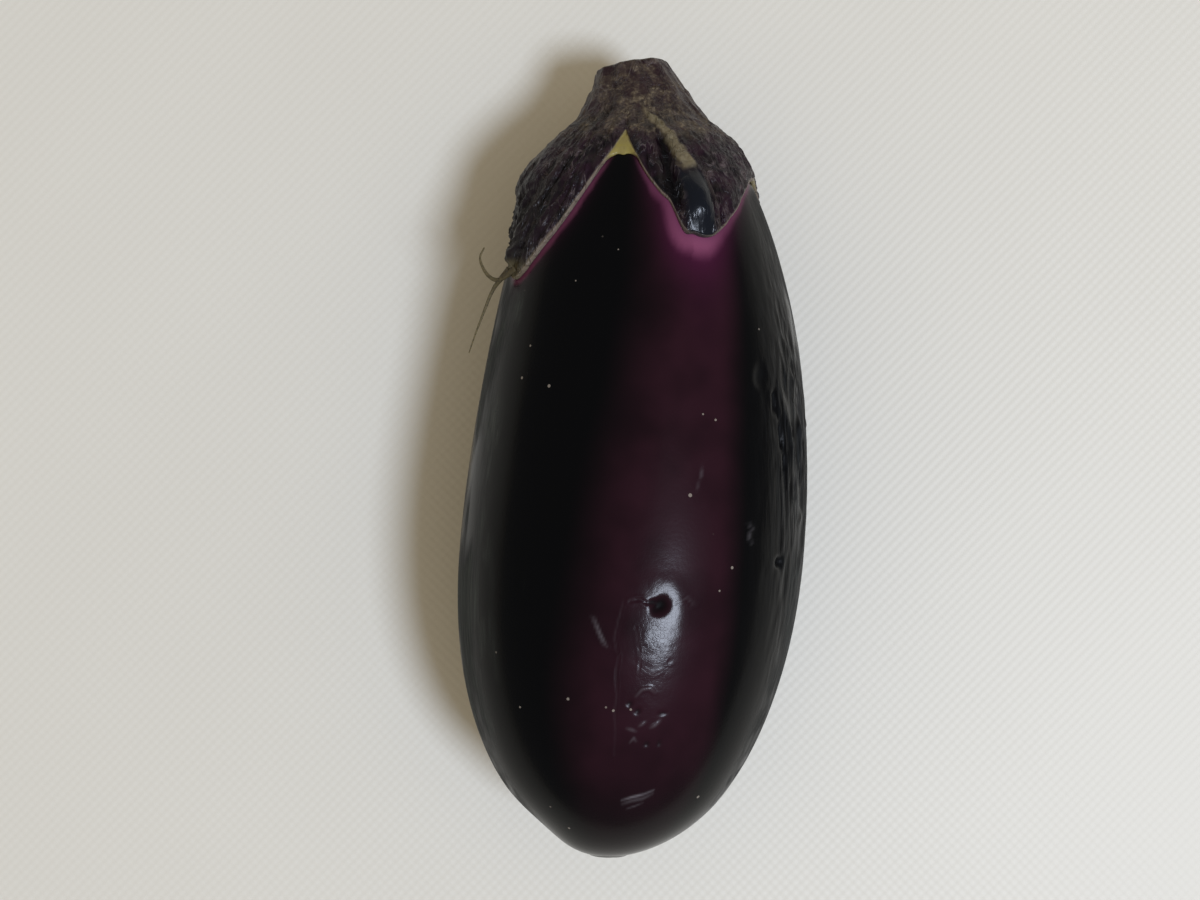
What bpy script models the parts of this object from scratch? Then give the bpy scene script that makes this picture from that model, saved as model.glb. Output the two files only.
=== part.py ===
"""A short, plump eggplant lying on its side, with its calyx, cut stem and two dry threads.

Metres, +Z up. The fruit's long axis runs along Y with the stem towards +Y, and the fruit rests
on the plane z = 0 with a small flat spot. The origin is the middle of the footprint.
"""

import math

import bmesh
import bpy
import numpy as np
from mathutils import Vector

# Fruit: a long egg whose two ends are superellipses that meet at the belly.
FRUIT_RADIUS = 0.0325           # half the width at the belly
FRUIT_FLATNESS = 0.93           # height of a cross-section over its width
BELLY_Y = -0.0167               # station of the widest cross-section
BLOSSOM_LENGTH = 0.0587         # from the belly to the blossom end
SHOULDER_LENGTH = 0.0823        # from the belly to the end hidden in the calyx
BLOSSOM_POWERS = (2.2, 1.95)
SHOULDER_POWERS = (1.75, 2.7)

# The fruit's axis bends sideways along its length, and its tip leans a little further.
BEND_FROM_Y = -0.0704
BEND_TO_Y = 0.0296
BEND_FROM_X = -0.0029
BEND_TO_X = 0.0023
TIP_LEAN_FROM_Y = -0.0624
TIP_LEAN_X = -0.0016

# The fruit balances on its rest spot, with the lighter stem end slightly lower.
REST_Y = -0.0070
REST_DEPTH = 0.0004             # how much the weight flattens the lowest point
AXIS_TILT = 0.0485

# Calyx: a cap of five fused lobes. Each row gives a lobe's tip and then the notch after it,
# as an angle round the fruit in degrees (0 is +X, 90 is up) and a station along Y. The arches
# bow the margin on the way up to that notch and down from it: 1 is straight, 2 is a round arch.
LOBES = (
    {"tip": (66.0, 0.0395), "notch": (103.0, 0.0599), "arches": (1.0, 1.0)},
    {"tip": (152.0, 0.0328), "notch": (196.0, 0.0526), "arches": (2.4, 1.4)},
    {"tip": (221.0, 0.0401), "notch": (246.0, 0.0541), "arches": (1.4, 1.4)},
    {"tip": (273.0, 0.0376), "notch": (302.0, 0.0546), "arches": (1.5, 1.5)},
    {"tip": (333.0, 0.0426), "notch": (366.0, 0.0522), "arches": (1.8, 2.3)},
)
LOBE_TIP_ROUNDING = 0.18        # share of a lobe's side that is taken up by its round tip
CALYX_GAP = 0.00035             # between the fruit and the inside of the calyx
CALYX_THICKNESS = 0.0014
NECK_Y = 0.0695                 # where the calyx ends and the stem stub starts
NECK_RADIUS = 0.0090
NECK_LEAN_X = -0.0010           # the neck sits off the fruit's axis
NECK_SLOPE = 0.62               # how fast the neck's radius grows towards the fruit
NECK_LENGTH = 0.0110            # how far down the cap the neck's cone reaches
NECK_FILLET = 0.0016
SHEET_GAP = 0.0003              # between touching pieces

# Swellings of the calyx: angle, station, half-widths in degrees and metres, and height.
LEFT_LOBE_SWELLING = (168.0, 0.0531, 20.0, 0.0055, 0.0018)
KEEL_SWELLING = (69.0, 0.0466, 8.0, 0.0065, 0.0018)

# Stem stub, with a cut that slants sideways.
STEM_TOP_Y = 0.0743
STEM_TOP_RADIUS = 0.0063
STEM_LEAN_X = -0.0016
STEM_CUT_SLOPE = 0.17
STEM_RIDGES = 7
STEM_RIDGE_HEIGHT = 0.0003

# Two dry threads from the tip of the left lobe.
THREAD_RADIUS = 0.00025
CURLED_THREAD = (
    (-0.0257, 0.0324, 0.0364),
    (-0.0268, 0.0333, 0.0366),
    (-0.0280, 0.0349, 0.0366),
    (-0.0284, 0.0366, 0.0365),
    (-0.0277, 0.0383, 0.0363),
)
STRAIGHT_THREAD = (
    (-0.0260, 0.0314, 0.0356),
    (-0.0268, 0.0292, 0.0350),
    (-0.0280, 0.0262, 0.0342),
    (-0.0294, 0.0226, 0.0336),
    (-0.0307, 0.0189, 0.0332),
)
THREAD_STEPS = 3

FRUIT_SEGMENTS = 48
FRUIT_RINGS = 36
CALYX_SEGMENTS = 80
CALYX_RINGS = 14
STEM_SEGMENTS = 42
STEM_CUTS = 3


def smoothstep(t):
    """Ease from 0 to 1."""
    t = np.clip(t, 0.0, 1.0)
    return t * t * (3.0 - 2.0 * t)


def axis_x(y):
    """Sideways place of the fruit's axis at station y."""
    bend = smoothstep((y - BEND_FROM_Y) / (BEND_TO_Y - BEND_FROM_Y))
    blossom_end = BELLY_Y - BLOSSOM_LENGTH
    lean = np.clip((TIP_LEAN_FROM_Y - y) / (TIP_LEAN_FROM_Y - blossom_end), 0.0, 1.0) ** 2
    return BEND_FROM_X + (BEND_TO_X - BEND_FROM_X) * bend + TIP_LEAN_X * lean


def neck_lean(y):
    """How far the calyx and the stem stub lean off the fruit's axis at station y."""
    return NECK_LEAN_X * smoothstep(1.0 - (NECK_Y - y) / NECK_LENGTH)


def axis_z(y):
    """Height of the fruit's axis at station y."""
    middle = lowest_radius() * FRUIT_FLATNESS - REST_DEPTH
    return middle - AXIS_TILT * (y - REST_Y)


def section_radius(y, grow=0.0):
    """Half the width at station y of the fruit, grown outwards by a distance."""
    along = y - BELLY_Y
    towards_tip = np.clip(-along / (BLOSSOM_LENGTH + grow), 0.0, 1.0)
    towards_stem = np.clip(along / (SHOULDER_LENGTH + grow), 0.0, 1.0)
    tip_in, tip_out = BLOSSOM_POWERS
    stem_in, stem_out = SHOULDER_POWERS
    tip_share = (1.0 - towards_tip ** tip_in) ** (1.0 / tip_out)
    stem_share = (1.0 - towards_stem ** stem_in) ** (1.0 / stem_out)
    return (FRUIT_RADIUS + grow) * np.where(along < 0.0, tip_share, stem_share)


def lowest_radius():
    """Half the width at the station that the fruit rests on."""
    return float(section_radius(np.array(REST_Y)))


def ring_point(y, radius, angle):
    """A point on the oval section of the given half width, at an angle round the axis."""
    x = axis_x(y) + radius * np.cos(angle)
    z = axis_z(y) + radius * FRUIT_FLATNESS * np.sin(angle)
    return np.stack(np.broadcast_arrays(x, y, z), axis=-1)


def lobe_side(share, arch):
    """Rise of the margin from a lobe's tip (0) to its notch (1)."""
    share = np.clip(share, 0.0, 1.0)
    rounded = np.sqrt(share ** 2 + LOBE_TIP_ROUNDING ** 2) - LOBE_TIP_ROUNDING
    rounded = rounded / (math.sqrt(1.0 + LOBE_TIP_ROUNDING ** 2) - LOBE_TIP_ROUNDING)
    return 1.0 - (1.0 - np.minimum(rounded, 1.0)) ** arch


def margin_y(angle):
    """Station of the calyx's margin at an angle round the fruit."""
    first_angle, first_y = LOBES[0]["tip"]
    next_tips = [lobe["tip"] for lobe in LOBES[1:]] + [(first_angle + 360.0, first_y)]
    turned = (np.degrees(angle) - first_angle) % 360.0 + first_angle
    result = np.full_like(turned, first_y)
    for lobe, (next_angle, next_y) in zip(LOBES, next_tips):
        tip_angle, tip_y = lobe["tip"]
        notch_angle, notch_y = lobe["notch"]
        arch_up, arch_down = lobe["arches"]
        up = lobe_side((turned - tip_angle) / (notch_angle - tip_angle), arch_up)
        down = lobe_side((next_angle - turned) / (next_angle - notch_angle), arch_down)
        rising = (turned >= tip_angle) & (turned <= notch_angle)
        falling = (turned > notch_angle) & (turned <= next_angle)
        result = np.where(rising, tip_y + (notch_y - tip_y) * up, result)
        result = np.where(falling, next_y + (notch_y - next_y) * down, result)
    return result


def swelling(angle, y, shape):
    """A smooth bump on the calyx."""
    centre, station, wide, long, height = shape
    turned = (np.degrees(angle) - centre + 180.0) % 360.0 - 180.0
    return height * np.exp(-((turned / wide) ** 2) - ((y - station) / long) ** 2)


def calyx_outer_radius(y, angle):
    """Half the width of the calyx's outside: the grown fruit, blended into the neck's cone."""
    grow = CALYX_GAP + CALYX_THICKNESS
    cap = section_radius(y, grow)
    cap = cap + swelling(angle, y, LEFT_LOBE_SWELLING) + swelling(angle, y, KEEL_SWELLING)
    below_neck = NECK_Y - y
    cone = NECK_RADIUS + NECK_SLOPE * below_neck
    overlap = np.clip(0.5 + 0.5 * (cap - cone) / NECK_FILLET, 0.0, 1.0)
    joined = cone + (cap - cone) * overlap + 0.5 * NECK_FILLET * overlap * (1.0 - overlap)
    fade = smoothstep((below_neck - 0.5 * NECK_LENGTH) / (0.5 * NECK_LENGTH))
    return joined + (cap - joined) * fade


def sphere_grid(segments, rings):
    """A primitive sphere, with the angle and the share of the way down for each vertex.

    The angle runs clockwise seen from the top pole, because the top pole is laid over to +Y.
    """
    bm = bmesh.new()
    bmesh.ops.create_uvsphere(bm, u_segments=segments, v_segments=rings, radius=1.0)
    points = np.array([vertex.co[:] for vertex in bm.verts])
    angle = -np.arctan2(points[:, 1], points[:, 0])
    down = np.arccos(np.clip(points[:, 2], -1.0, 1.0)) / math.pi
    return bm, angle, np.round(down * rings) / rings


def move_vertices(bm, points):
    """Put each vertex at its new place."""
    for vertex, point in zip(bm.verts, points):
        vertex.co = Vector(point)


def object_from_bmesh(name, bm, material, collection):
    """Make a smooth-shaded object."""
    mesh = bpy.data.meshes.new(name)
    bm.to_mesh(mesh)
    bm.free()
    mesh.shade_smooth()
    mesh.set_sharp_from_angle(angle=math.radians(40.0))
    mesh.materials.append(material)
    part = bpy.data.objects.new(name, mesh)
    collection.objects.link(part)
    return part


def make_material(name, color, roughness):
    """A Principled finish of one colour."""
    material = bpy.data.materials.new(name)
    material.use_nodes = True
    shader = material.node_tree.nodes["Principled BSDF"]
    shader.inputs["Base Color"].default_value = (*color, 1.0)
    shader.inputs["Roughness"].default_value = roughness
    shader.inputs["Metallic"].default_value = 0.0
    return material


def make_fruit(collection):
    """The whole fruit, cut flat where it rests."""
    bm, angle, down = sphere_grid(FRUIT_SEGMENTS, FRUIT_RINGS)
    half_turn = np.cos(down * math.pi)
    length = np.where(half_turn < 0.0, BLOSSOM_LENGTH, SHOULDER_LENGTH)
    y = BELLY_Y + length * half_turn
    move_vertices(bm, ring_point(y, section_radius(y), angle))
    geometry = bm.verts[:] + bm.edges[:] + bm.faces[:]
    cut = bmesh.ops.bisect_plane(bm, geom=geometry, dist=1e-7, plane_co=(0.0, 0.0, 0.0),
                                 plane_no=(0.0, 0.0, -1.0), clear_outer=True)
    rim = [item for item in cut["geom_cut"] if isinstance(item, bmesh.types.BMEdge)]
    bmesh.ops.contextual_create(bm, geom=rim)
    skin = make_material("glossy_purple_skin", (0.016, 0.006, 0.013), 0.25)
    return object_from_bmesh("fruit", bm, skin, collection)


def make_calyx(collection):
    """The cap of five lobes: a closed sphere pressed into an outer and an inner sheet."""
    bm, angle, down = sphere_grid(CALYX_SEGMENTS, 2 * CALYX_RINGS)
    margin = margin_y(angle)

    # The upper half of the sphere becomes the outside: a flat neck, then the cone and the cap.
    outward = np.clip(down * 2.0, 0.0, 1.0)
    neck_share = 2.0 / CALYX_RINGS
    below_neck = np.clip((outward - neck_share) / (1.0 - neck_share), 0.0, 1.0)
    outer_y = NECK_Y + (margin - NECK_Y) * below_neck
    outer_radius = calyx_outer_radius(outer_y, angle)
    outer_radius = outer_radius * np.clip(outward / neck_share, 0.0, 1.0)
    outer = ring_point(outer_y, outer_radius, angle)
    outer[:, 0] += neck_lean(outer_y)

    # The lower half becomes the inside, which follows the fruit at a small gap.
    reach = SHOULDER_LENGTH + CALYX_GAP
    inner_ring = CALYX_RINGS + 1
    inward = (1.0 - down) * 2.0 * CALYX_RINGS / (2 * CALYX_RINGS - inner_ring)
    margin_turn = np.arccos((margin - BELLY_Y) / reach)
    inner_y = BELLY_Y + reach * np.cos(margin_turn * np.clip(inward, 0.0, 1.0))
    inner = ring_point(inner_y, section_radius(inner_y, CALYX_GAP), angle)

    is_outer = (down <= 0.5 + 1e-6)[:, None]
    move_vertices(bm, np.where(is_outer, outer, inner))
    sepals = make_material("dark_leathery_sepals", (0.022, 0.012, 0.016), 0.6)
    return object_from_bmesh("calyx", bm, sepals, collection)


def make_stem(collection):
    """The ridged stub of the stem, cut off at a slant."""
    bm = bmesh.new()
    bmesh.ops.create_cone(bm, cap_ends=True, cap_tris=False, segments=STEM_SEGMENTS,
                          radius1=1.0, radius2=1.0, depth=1.0)
    upright = [edge for edge in bm.edges if abs(edge.verts[0].co.z - edge.verts[1].co.z) > 0.5]
    bmesh.ops.subdivide_edges(bm, edges=upright, cuts=STEM_CUTS)
    points = np.array([vertex.co[:] for vertex in bm.verts])
    up = points[:, 2] + 0.5
    angle = -np.arctan2(points[:, 1], points[:, 0])
    base_y = NECK_Y + SHEET_GAP
    ridges = STEM_RIDGE_HEIGHT * np.cos(STEM_RIDGES * angle)
    radius = NECK_RADIUS + (STEM_TOP_RADIUS - NECK_RADIUS) * up + ridges
    y = base_y + (STEM_TOP_Y - base_y) * up
    placed = ring_point(y, radius, angle)
    placed[:, 0] += NECK_LEAN_X + STEM_LEAN_X * up
    placed[:, 1] += STEM_CUT_SLOPE * radius * np.cos(angle) * up
    move_vertices(bm, placed)
    peduncle = make_material("ridged_stem_bark", (0.035, 0.018, 0.022), 0.7)
    return object_from_bmesh("stem", bm, peduncle, collection)


def smooth_route(points):
    """Points on a smooth curve through the given ones."""
    route = [Vector(point) for point in points]
    ends = [2.0 * route[0] - route[1]] + route + [2.0 * route[-1] - route[-2]]
    result = []
    for before, start, end, after in zip(ends, ends[1:], ends[2:], ends[3:]):
        for step in range(THREAD_STEPS):
            t = step / THREAD_STEPS
            pull = (end - before) * t + (2.0 * before - 5.0 * start + 4.0 * end - after) * t ** 2
            pull = pull + (3.0 * start - before - 3.0 * end + after) * t ** 3
            result.append(start + 0.5 * pull)
    result.append(route[-1])
    return result


def make_thread(name, points, collection, material):
    """A thin dry fibre: a round curve with closed ends."""
    route = smooth_route(points)
    curve = bpy.data.curves.new(name, "CURVE")
    curve.dimensions = "3D"
    curve.bevel_depth = THREAD_RADIUS
    curve.bevel_resolution = 1
    curve.use_fill_caps = True
    spline = curve.splines.new("POLY")
    spline.points.add(len(route) - 1)
    for point, place in zip(spline.points, route):
        point.co = (*place, 1.0)
    curve.materials.append(material)
    part = bpy.data.objects.new(name, curve)
    collection.objects.link(part)
    return part


def main():
    """Clear the scene and model the eggplant."""
    for old in list(bpy.data.objects):
        bpy.data.objects.remove(old, do_unlink=True)
    collection = bpy.data.collections.new("eggplant")
    bpy.context.scene.collection.children.link(collection)
    make_fruit(collection)
    make_calyx(collection)
    make_stem(collection)
    straw = make_material("dry_straw_fibre", (0.16, 0.12, 0.06), 0.8)
    make_thread("dry_thread_curled", CURLED_THREAD, collection, straw)
    make_thread("dry_thread_straight", STRAIGHT_THREAD, collection, straw)


main()
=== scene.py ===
import math

import bpy
import numpy as np
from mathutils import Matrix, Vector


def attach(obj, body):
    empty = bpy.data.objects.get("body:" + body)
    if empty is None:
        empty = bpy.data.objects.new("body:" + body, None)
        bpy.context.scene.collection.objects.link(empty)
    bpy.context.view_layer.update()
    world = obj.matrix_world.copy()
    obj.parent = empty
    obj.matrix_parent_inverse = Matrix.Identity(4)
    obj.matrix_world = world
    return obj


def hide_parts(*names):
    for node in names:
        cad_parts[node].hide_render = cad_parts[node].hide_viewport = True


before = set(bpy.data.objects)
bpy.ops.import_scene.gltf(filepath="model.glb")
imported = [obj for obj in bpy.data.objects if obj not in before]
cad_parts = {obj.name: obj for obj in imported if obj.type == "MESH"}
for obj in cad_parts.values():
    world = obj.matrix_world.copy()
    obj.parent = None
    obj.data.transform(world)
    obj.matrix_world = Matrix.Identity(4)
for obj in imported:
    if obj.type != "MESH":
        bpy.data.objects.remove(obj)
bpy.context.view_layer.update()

# A plump eggplant on its side, stem towards +Y. Lengths in the dictionaries of the pieces are
# millimetres, and stations are millimetres along Y. Angles are degrees round the fruit: 0 is +X and
# 90 is up. Meshes are written in metres.

millimetre = 0.001

print("stage: frame loaded")


body = {
    "radius": 32.5,               # half the width at the belly
    "strokeReach": 31.0,          # half width that turns degrees into millimetres along a stroke
    "flatness": 0.93,             # height of a section over its width
    "bellyY": -16.7,
    "blossomLength": 58.7,
    "shoulderLength": 82.3,
    "blossomPowers": (2.2, 1.95),    # powers of the superellipse towards the tip
    "shoulderPowers": (1.75, 2.7),   # and towards the stem
    "bendY": (-70.4, 29.6),       # the axis bends sideways between these stations
    "bendX": (-2.9, 2.3),
    "tipLeanY": -62.4,
    "tipLeanX": -1.6,
    "restY": -7.0,                # the lowest section
    "restDepth": 0.4,             # how far the ground flattens it
    "tilt": 0.0485,               # fall of the axis towards the stem
}


def smoothstep(t):
    # 3t^2 - 2t^3 between 0 and 1
    t = np.clip(t, 0.0, 1.0)
    return t * t * (3.0 - 2.0 * t)


def axisX(y):
    # an S-curve from one side to the other, plus a square-law lean at the tip
    fromY, toY = body["bendY"]
    fromX, toX = body["bendX"]
    blossomEnd = body["bellyY"] - body["blossomLength"]
    lean = np.clip((body["tipLeanY"] - y) / (body["tipLeanY"] - blossomEnd), 0.0, 1.0) ** 2
    return fromX + (toX - fromX) * smoothstep((y - fromY) / (toY - fromY)) + body["tipLeanX"] * lean


def sectionRadius(y, grow=0.0):
    # two superellipses that meet at the belly: radius * (1 - along^p)^(1/q)
    along = y - body["bellyY"]
    towardsTip = np.clip(-along / (body["blossomLength"] + grow), 0.0, 1.0)
    towardsStem = np.clip(along / (body["shoulderLength"] + grow), 0.0, 1.0)
    tipIn, tipOut = body["blossomPowers"]
    stemIn, stemOut = body["shoulderPowers"]
    tipShare = (1.0 - towardsTip ** tipIn) ** (1.0 / tipOut)
    stemShare = (1.0 - towardsStem ** stemIn) ** (1.0 / stemOut)
    return (body["radius"] + grow) * np.where(along < 0.0, tipShare, stemShare)


def axisZ(y):
    # the lowest section touches the ground, and the axis falls gently towards the stem
    middle = float(sectionRadius(np.array(body["restY"]))) * body["flatness"] - body["restDepth"]
    return middle - body["tilt"] * (y - body["restY"])


def ringPoint(y, radius, angle):
    # a point on an upright oval round the axis; angle in degrees
    turn = np.radians(angle)
    x = axisX(y) + radius * np.cos(turn)
    z = axisZ(y) + radius * body["flatness"] * np.sin(turn)
    return np.stack(np.broadcast_arrays(x, y, z), axis=-1)


def angleFrom(angle, centre):
    # signed turn from centre, -180 to 180
    return (angle - centre + 180.0) % 360.0 - 180.0


def bell(distance, width):
    # e^-(distance/width)^2
    return np.exp(-(distance / width) ** 2)


def window(value, low, high, soft):
    # 1 between low and high, with edges that take soft to fade
    return smoothstep((value - low) / soft + 0.5) * smoothstep((high - value) / soft + 0.5)


def cornerNumber(corner, seed):
    # an integer hash of a lattice corner, -1 to 1
    x, y, z = (corner[..., i].astype(np.uint64) & 0xFFFFFFFF for i in range(3))
    mixed = (x * 73856093 ^ y * 19349663 ^ z * 83492791 ^ np.uint64(seed * 2654435761)) & 0xFFFFFFFF
    for step in (15, 12, 17):
        mixed = ((mixed ^ (mixed >> step)) * 2246822519) & 0xFFFFFFFF
    return mixed.astype(np.float64) / 2147483647.5 - 1.0


def latticeNoise(points, cell, seed):
    # random numbers on a cubic lattice of this cell size, eased from corner to corner
    place = points / np.asarray(cell, float)
    corner = np.floor(place).astype(np.int64)
    share = smoothstep(place - corner)
    total = np.zeros(points.shape[:-1])
    for bits in range(8):
        step = np.array([bits & 1, bits >> 1 & 1, bits >> 2 & 1])
        weight = np.prod(np.where(step == 1, share, 1.0 - share), axis=-1)
        total += weight * cornerNumber(corner + step, seed)
    return total


def roughNoise(points, cell, seed, octaves=3):
    # lattice noise summed over octaves, each half the size and half the height of the last
    cell = np.asarray(cell, float)
    total, height = 0.0, 1.0
    for octave in range(octaves):
        total = total + height * latticeNoise(points, cell / 2 ** octave, seed + octave)
        height *= 0.5
    return total / (2.0 - 2.0 * height)


def wartNoise(points, cell, seed):
    # distance to the nearest of one random point per lattice cell, in cells
    place = points / cell
    corner = np.floor(place).astype(np.int64)
    nearest = np.full(points.shape[:-1], 9.0)
    for step in np.ndindex(3, 3, 3):
        near = corner + np.array(step) - 1
        jitter = np.stack([cornerNumber(near, seed + axis) for axis in range(3)], -1) * 0.45 + 0.5
        nearest = np.minimum(nearest, np.linalg.norm(near + jitter - place, axis=-1))
    return nearest


def strokeDistance(angle, y, route, reach=body["strokeReach"]):
    # distance on the unrolled skin to a route of (angle, station), and the share of the way along it
    across = np.radians(angleFrom(angle, route[0][0])) * reach
    best = np.full(np.shape(angle), 1e9)
    share = np.zeros(np.shape(angle))
    stops = [(math.radians(a - route[0][0]) * reach, station) for a, station in route]
    for index, (start, end) in enumerate(zip(stops, stops[1:])):
        run, rise = end[0] - start[0], end[1] - start[1]
        t = ((across - start[0]) * run + (y - start[1]) * rise) / (run * run + rise * rise)
        t = np.clip(t, 0.0, 1.0)
        gap = np.hypot(across - start[0] - t * run, y - start[1] - t * rise)
        share = np.where(gap < best, (index + t) / (len(stops) - 1), share)
        best = np.minimum(best, gap)
    return best, share


def meshFromRows(name, points, material, masks):
    # rows of points round a closed form, in millimetres; the first and last rows are one point each.
    # Turned inside out if its volume comes out negative, so that faces point outwards.
    rows, columns = points.shape[:2]

    def packed(grid):
        return np.concatenate([grid[:1, 0], grid[1:-1].reshape((-1,) + grid.shape[2:]), grid[-1:, 0]])

    places = packed(points) * millimetre
    here = np.arange(columns)
    there = (here + 1) % columns
    ring = 1 + np.arange(rows - 3)[:, None] * columns
    quads = np.stack([ring + here, ring + there, ring + columns + there, ring + columns + here], -1)
    quads = quads.reshape(-1, 4)
    last = len(places) - 1
    lastRing = 1 + (rows - 3) * columns
    startFan = np.stack([np.zeros_like(here), 1 + there, 1 + here], -1)
    endFan = np.stack([np.full_like(here, last), lastRing + here, lastRing + there], -1)
    fans = np.concatenate([startFan, endFan])
    solid = [(fans[:, 0], fans[:, 1], fans[:, 2])]
    solid += [(quads[:, 0], quads[:, i], quads[:, i + 1]) for i in (1, 2)]
    volume = sum(np.sum(places[a] * np.cross(places[b], places[c])) for a, b, c in solid)
    if volume < 0.0:
        quads, fans = quads[:, ::-1], fans[:, ::-1]
    mesh = bpy.data.meshes.new(name)
    mesh.from_pydata(places.tolist(), [], quads.tolist() + fans.tolist())
    mesh.shade_smooth()
    for maskName, values in masks.items():
        layer = mesh.attributes.new(maskName, "FLOAT", "POINT")
        layer.data.foreach_set("value", packed(values).astype(np.float32))
    mesh.materials.append(material)
    piece = bpy.data.objects.new(name, mesh)
    bpy.context.scene.collection.objects.link(piece)
    print(f"stage: {name} has {2 * len(quads) + len(fans)} triangles")
    return piece


def linear(hexColour):
    # sRGB hex to linear RGBA
    parts = [int(hexColour[i:i + 2], 16) / 255.0 for i in (1, 3, 5)]
    return (*[c / 12.92 if c <= 0.04045 else ((c + 0.055) / 1.055) ** 2.4 for c in parts], 1.0)


def addNode(material, kind, sockets=None, pick=0, **settings):
    # adds one node and returns one of its outputs: settings are its properties, sockets are values
    # or links by name or number
    tree = material.node_tree
    node = tree.nodes.new("ShaderNode" + kind)
    for name, value in settings.items():
        setattr(node, name, value)
    for name, value in (sockets or {}).items():
        if isinstance(value, bpy.types.NodeSocket):
            tree.links.new(value, node.inputs[name])
        else:
            node.inputs[name].default_value = value
    return node.outputs[pick]


def newMaterial(name, maskNames, **sockets):
    # a Principled finish with the values that are the same all over, object coordinates in metres,
    # and the masks painted on the mesh, by name
    material = bpy.data.materials.new(name)
    material.use_nodes = True
    shader = material.node_tree.nodes["Principled BSDF"]
    for socket, value in sockets.items():
        shader.inputs[socket].default_value = value
    place = addNode(material, "TexCoord", pick="Object")
    mask = {each: addNode(material, "Attribute", pick="Fac", attribute_name=each) for each in maskNames}
    return material, shader, place, mask


def joinFinish(material, shader, colour, rough, bump):
    # links the worked-out colour, roughness and bump to the shader
    for socket, output in (("Base Color", colour), ("Roughness", rough), ("Normal", bump)):
        material.node_tree.links.new(output, shader.inputs[socket])
    return material


calyx = {
    # lobe tips and the notch after each (angle, station); the bow of the margin up to the notch and
    # down from it (1 is straight, 2 is a round arch); and the bare flesh in the notch: how deep, half
    # its width in degrees, how round
    "lobes": (
        ((66.0, 39.2), (103.0, 59.6), (1.0, 1.0), (5.0, 10.5, 0.3)),
        ((152.0, 32.8), (196.0, 52.6), (2.4, 1.4), (2.8, 9.0, 3.0)),
        ((221.0, 40.1), (246.0, 54.1), (1.4, 1.4), (2.2, 8.0, 2.0)),
        ((273.0, 37.6), (302.0, 54.6), (1.5, 1.5), (2.6, 9.0, 2.5)),
        ((333.0, 42.6), (366.0, 52.2), (1.8, 2.3), (1.1, 7.0, 3.0)),
    ),
    "tipRounding": 0.18,
    # small bends of the margin: angle, spread, how far towards the stem
    "marginBends": ((74.2, 3.0, -1.7), (80.0, 2.6, 1.1), (128.0, 9.0, -0.7)),
    "gap": 0.35,                  # between its inside and the skin
    "skinClearance": 0.06,        # what is left of that gap at the cut edge
    "thickness": 1.4,
    "edgeThickness": 0.5,
    "rimWidth": 0.30,
    "neckY": 69.5,
    "neckRadius": 9.0,
    "neckLeanX": -1.0,
    "neckSlope": 0.62,
    "neckLength": 11.0,
    "neckFillet": 1.6,
    "tuckedIn": 1.0,              # how far its first rows reach into the stem
    "collar": (58.5, 74.0, 3.5),  # stations between which scurf grows, and how softly it ends
    "columns": 480,
    "outerRows": 100,
    "rimRows": 8,
    "innerRows": 22,
    "neckRows": 4,
    # angle, station, spread in angle and in length, height
    "leftSwelling": (168.0, 53.1, 20.0, 5.5, 1.8),
    # strokes: route of (angle, station), half width, height or depth
    "keel": (((70.6, 54.0), (69.2, 46.0), (67.2, 37.6)), 3.3, 2.7),
    "keelWing": (((81.6, 59.4), (80.0, 55.0), (79.2, 50.0), (77.6, 45.5)), 1.7, 1.9),
    "scar": (
        ((93.0, 64.8), (86.0, 62.6), (79.5, 60.3), (76.0, 57.5), (73.0, 55.2), (70.8, 53.0),
         (70.0, 51.4)),
        1.9, 0.7,
    ),
    "scarReach": 29.0,            # half width there, which turns degrees into millimetres
    "paleLine": (
        ((66.5, 53.5), (65.0, 51.8), (62.0, 49.8), (60.0, 46.7), (59.5, 43.4), (59.5, 40.7)),
        0.35, 0.25,
    ),
    "leftVein": (
        ((136.0, 55.0), (139.5, 50.1), (143.5, 46.7), (149.0, 41.9), (152.5, 36.5)),
        1.3, 0.55,
    ),
    "ribs": ((152.0, 0.4), (221.0, 0.9), (273.0, 0.9), (333.0, 0.8), (30.0, 0.4)),    # angle, height
    "crumple": 0.288,             # heights of the crumpling, folds and fine grain
    "folds": 0.42,
    "fineCrumple": 0.10,
    "warts": (1.0, 0.45),         # spacing and height
    "leftLobe": (158.0, 26.0),    # the most shrivelled lobe: angle and spread
}


def lobeSide(share, arch):
    # 1 - (1 - s)^arch, with the first part of s rounded off like a hyperbola
    share = np.clip(share, 0.0, 1.0)
    soft = calyx["tipRounding"]
    rounded = (np.sqrt(share ** 2 + soft ** 2) - soft) / (math.sqrt(1.0 + soft ** 2) - soft)
    return 1.0 - (1.0 - np.minimum(rounded, 1.0)) ** arch


def marginY(angle):
    # from tip to notch and down to the next tip, each side its own arch
    lobes = calyx["lobes"]
    firstAngle, firstY = lobes[0][0]
    turned = (angle - firstAngle) % 360.0 + firstAngle
    nextTips = [lobe[0] for lobe in lobes[1:]] + [(firstAngle + 360.0, firstY)]
    result = np.full_like(turned, firstY)
    for lobe, (nextAngle, nextY) in zip(lobes, nextTips):
        (tipAngle, tipY), (notchAngle, notchY), arches = lobe[:3]
        up = lobeSide((turned - tipAngle) / (notchAngle - tipAngle), arches[0])
        down = lobeSide((nextAngle - turned) / (nextAngle - notchAngle), arches[1])
        rising = (turned >= tipAngle) & (turned <= notchAngle)
        falling = (turned > notchAngle) & (turned <= nextAngle)
        result = np.where(rising, tipY + (notchY - tipY) * up, result)
        result = np.where(falling, nextY + (notchY - nextY) * down, result)
    for bendAngle, spread, rise in calyx["marginBends"]:
        result = result + rise * bell(angleFrom(angle, bendAngle), spread)
    return result


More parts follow.
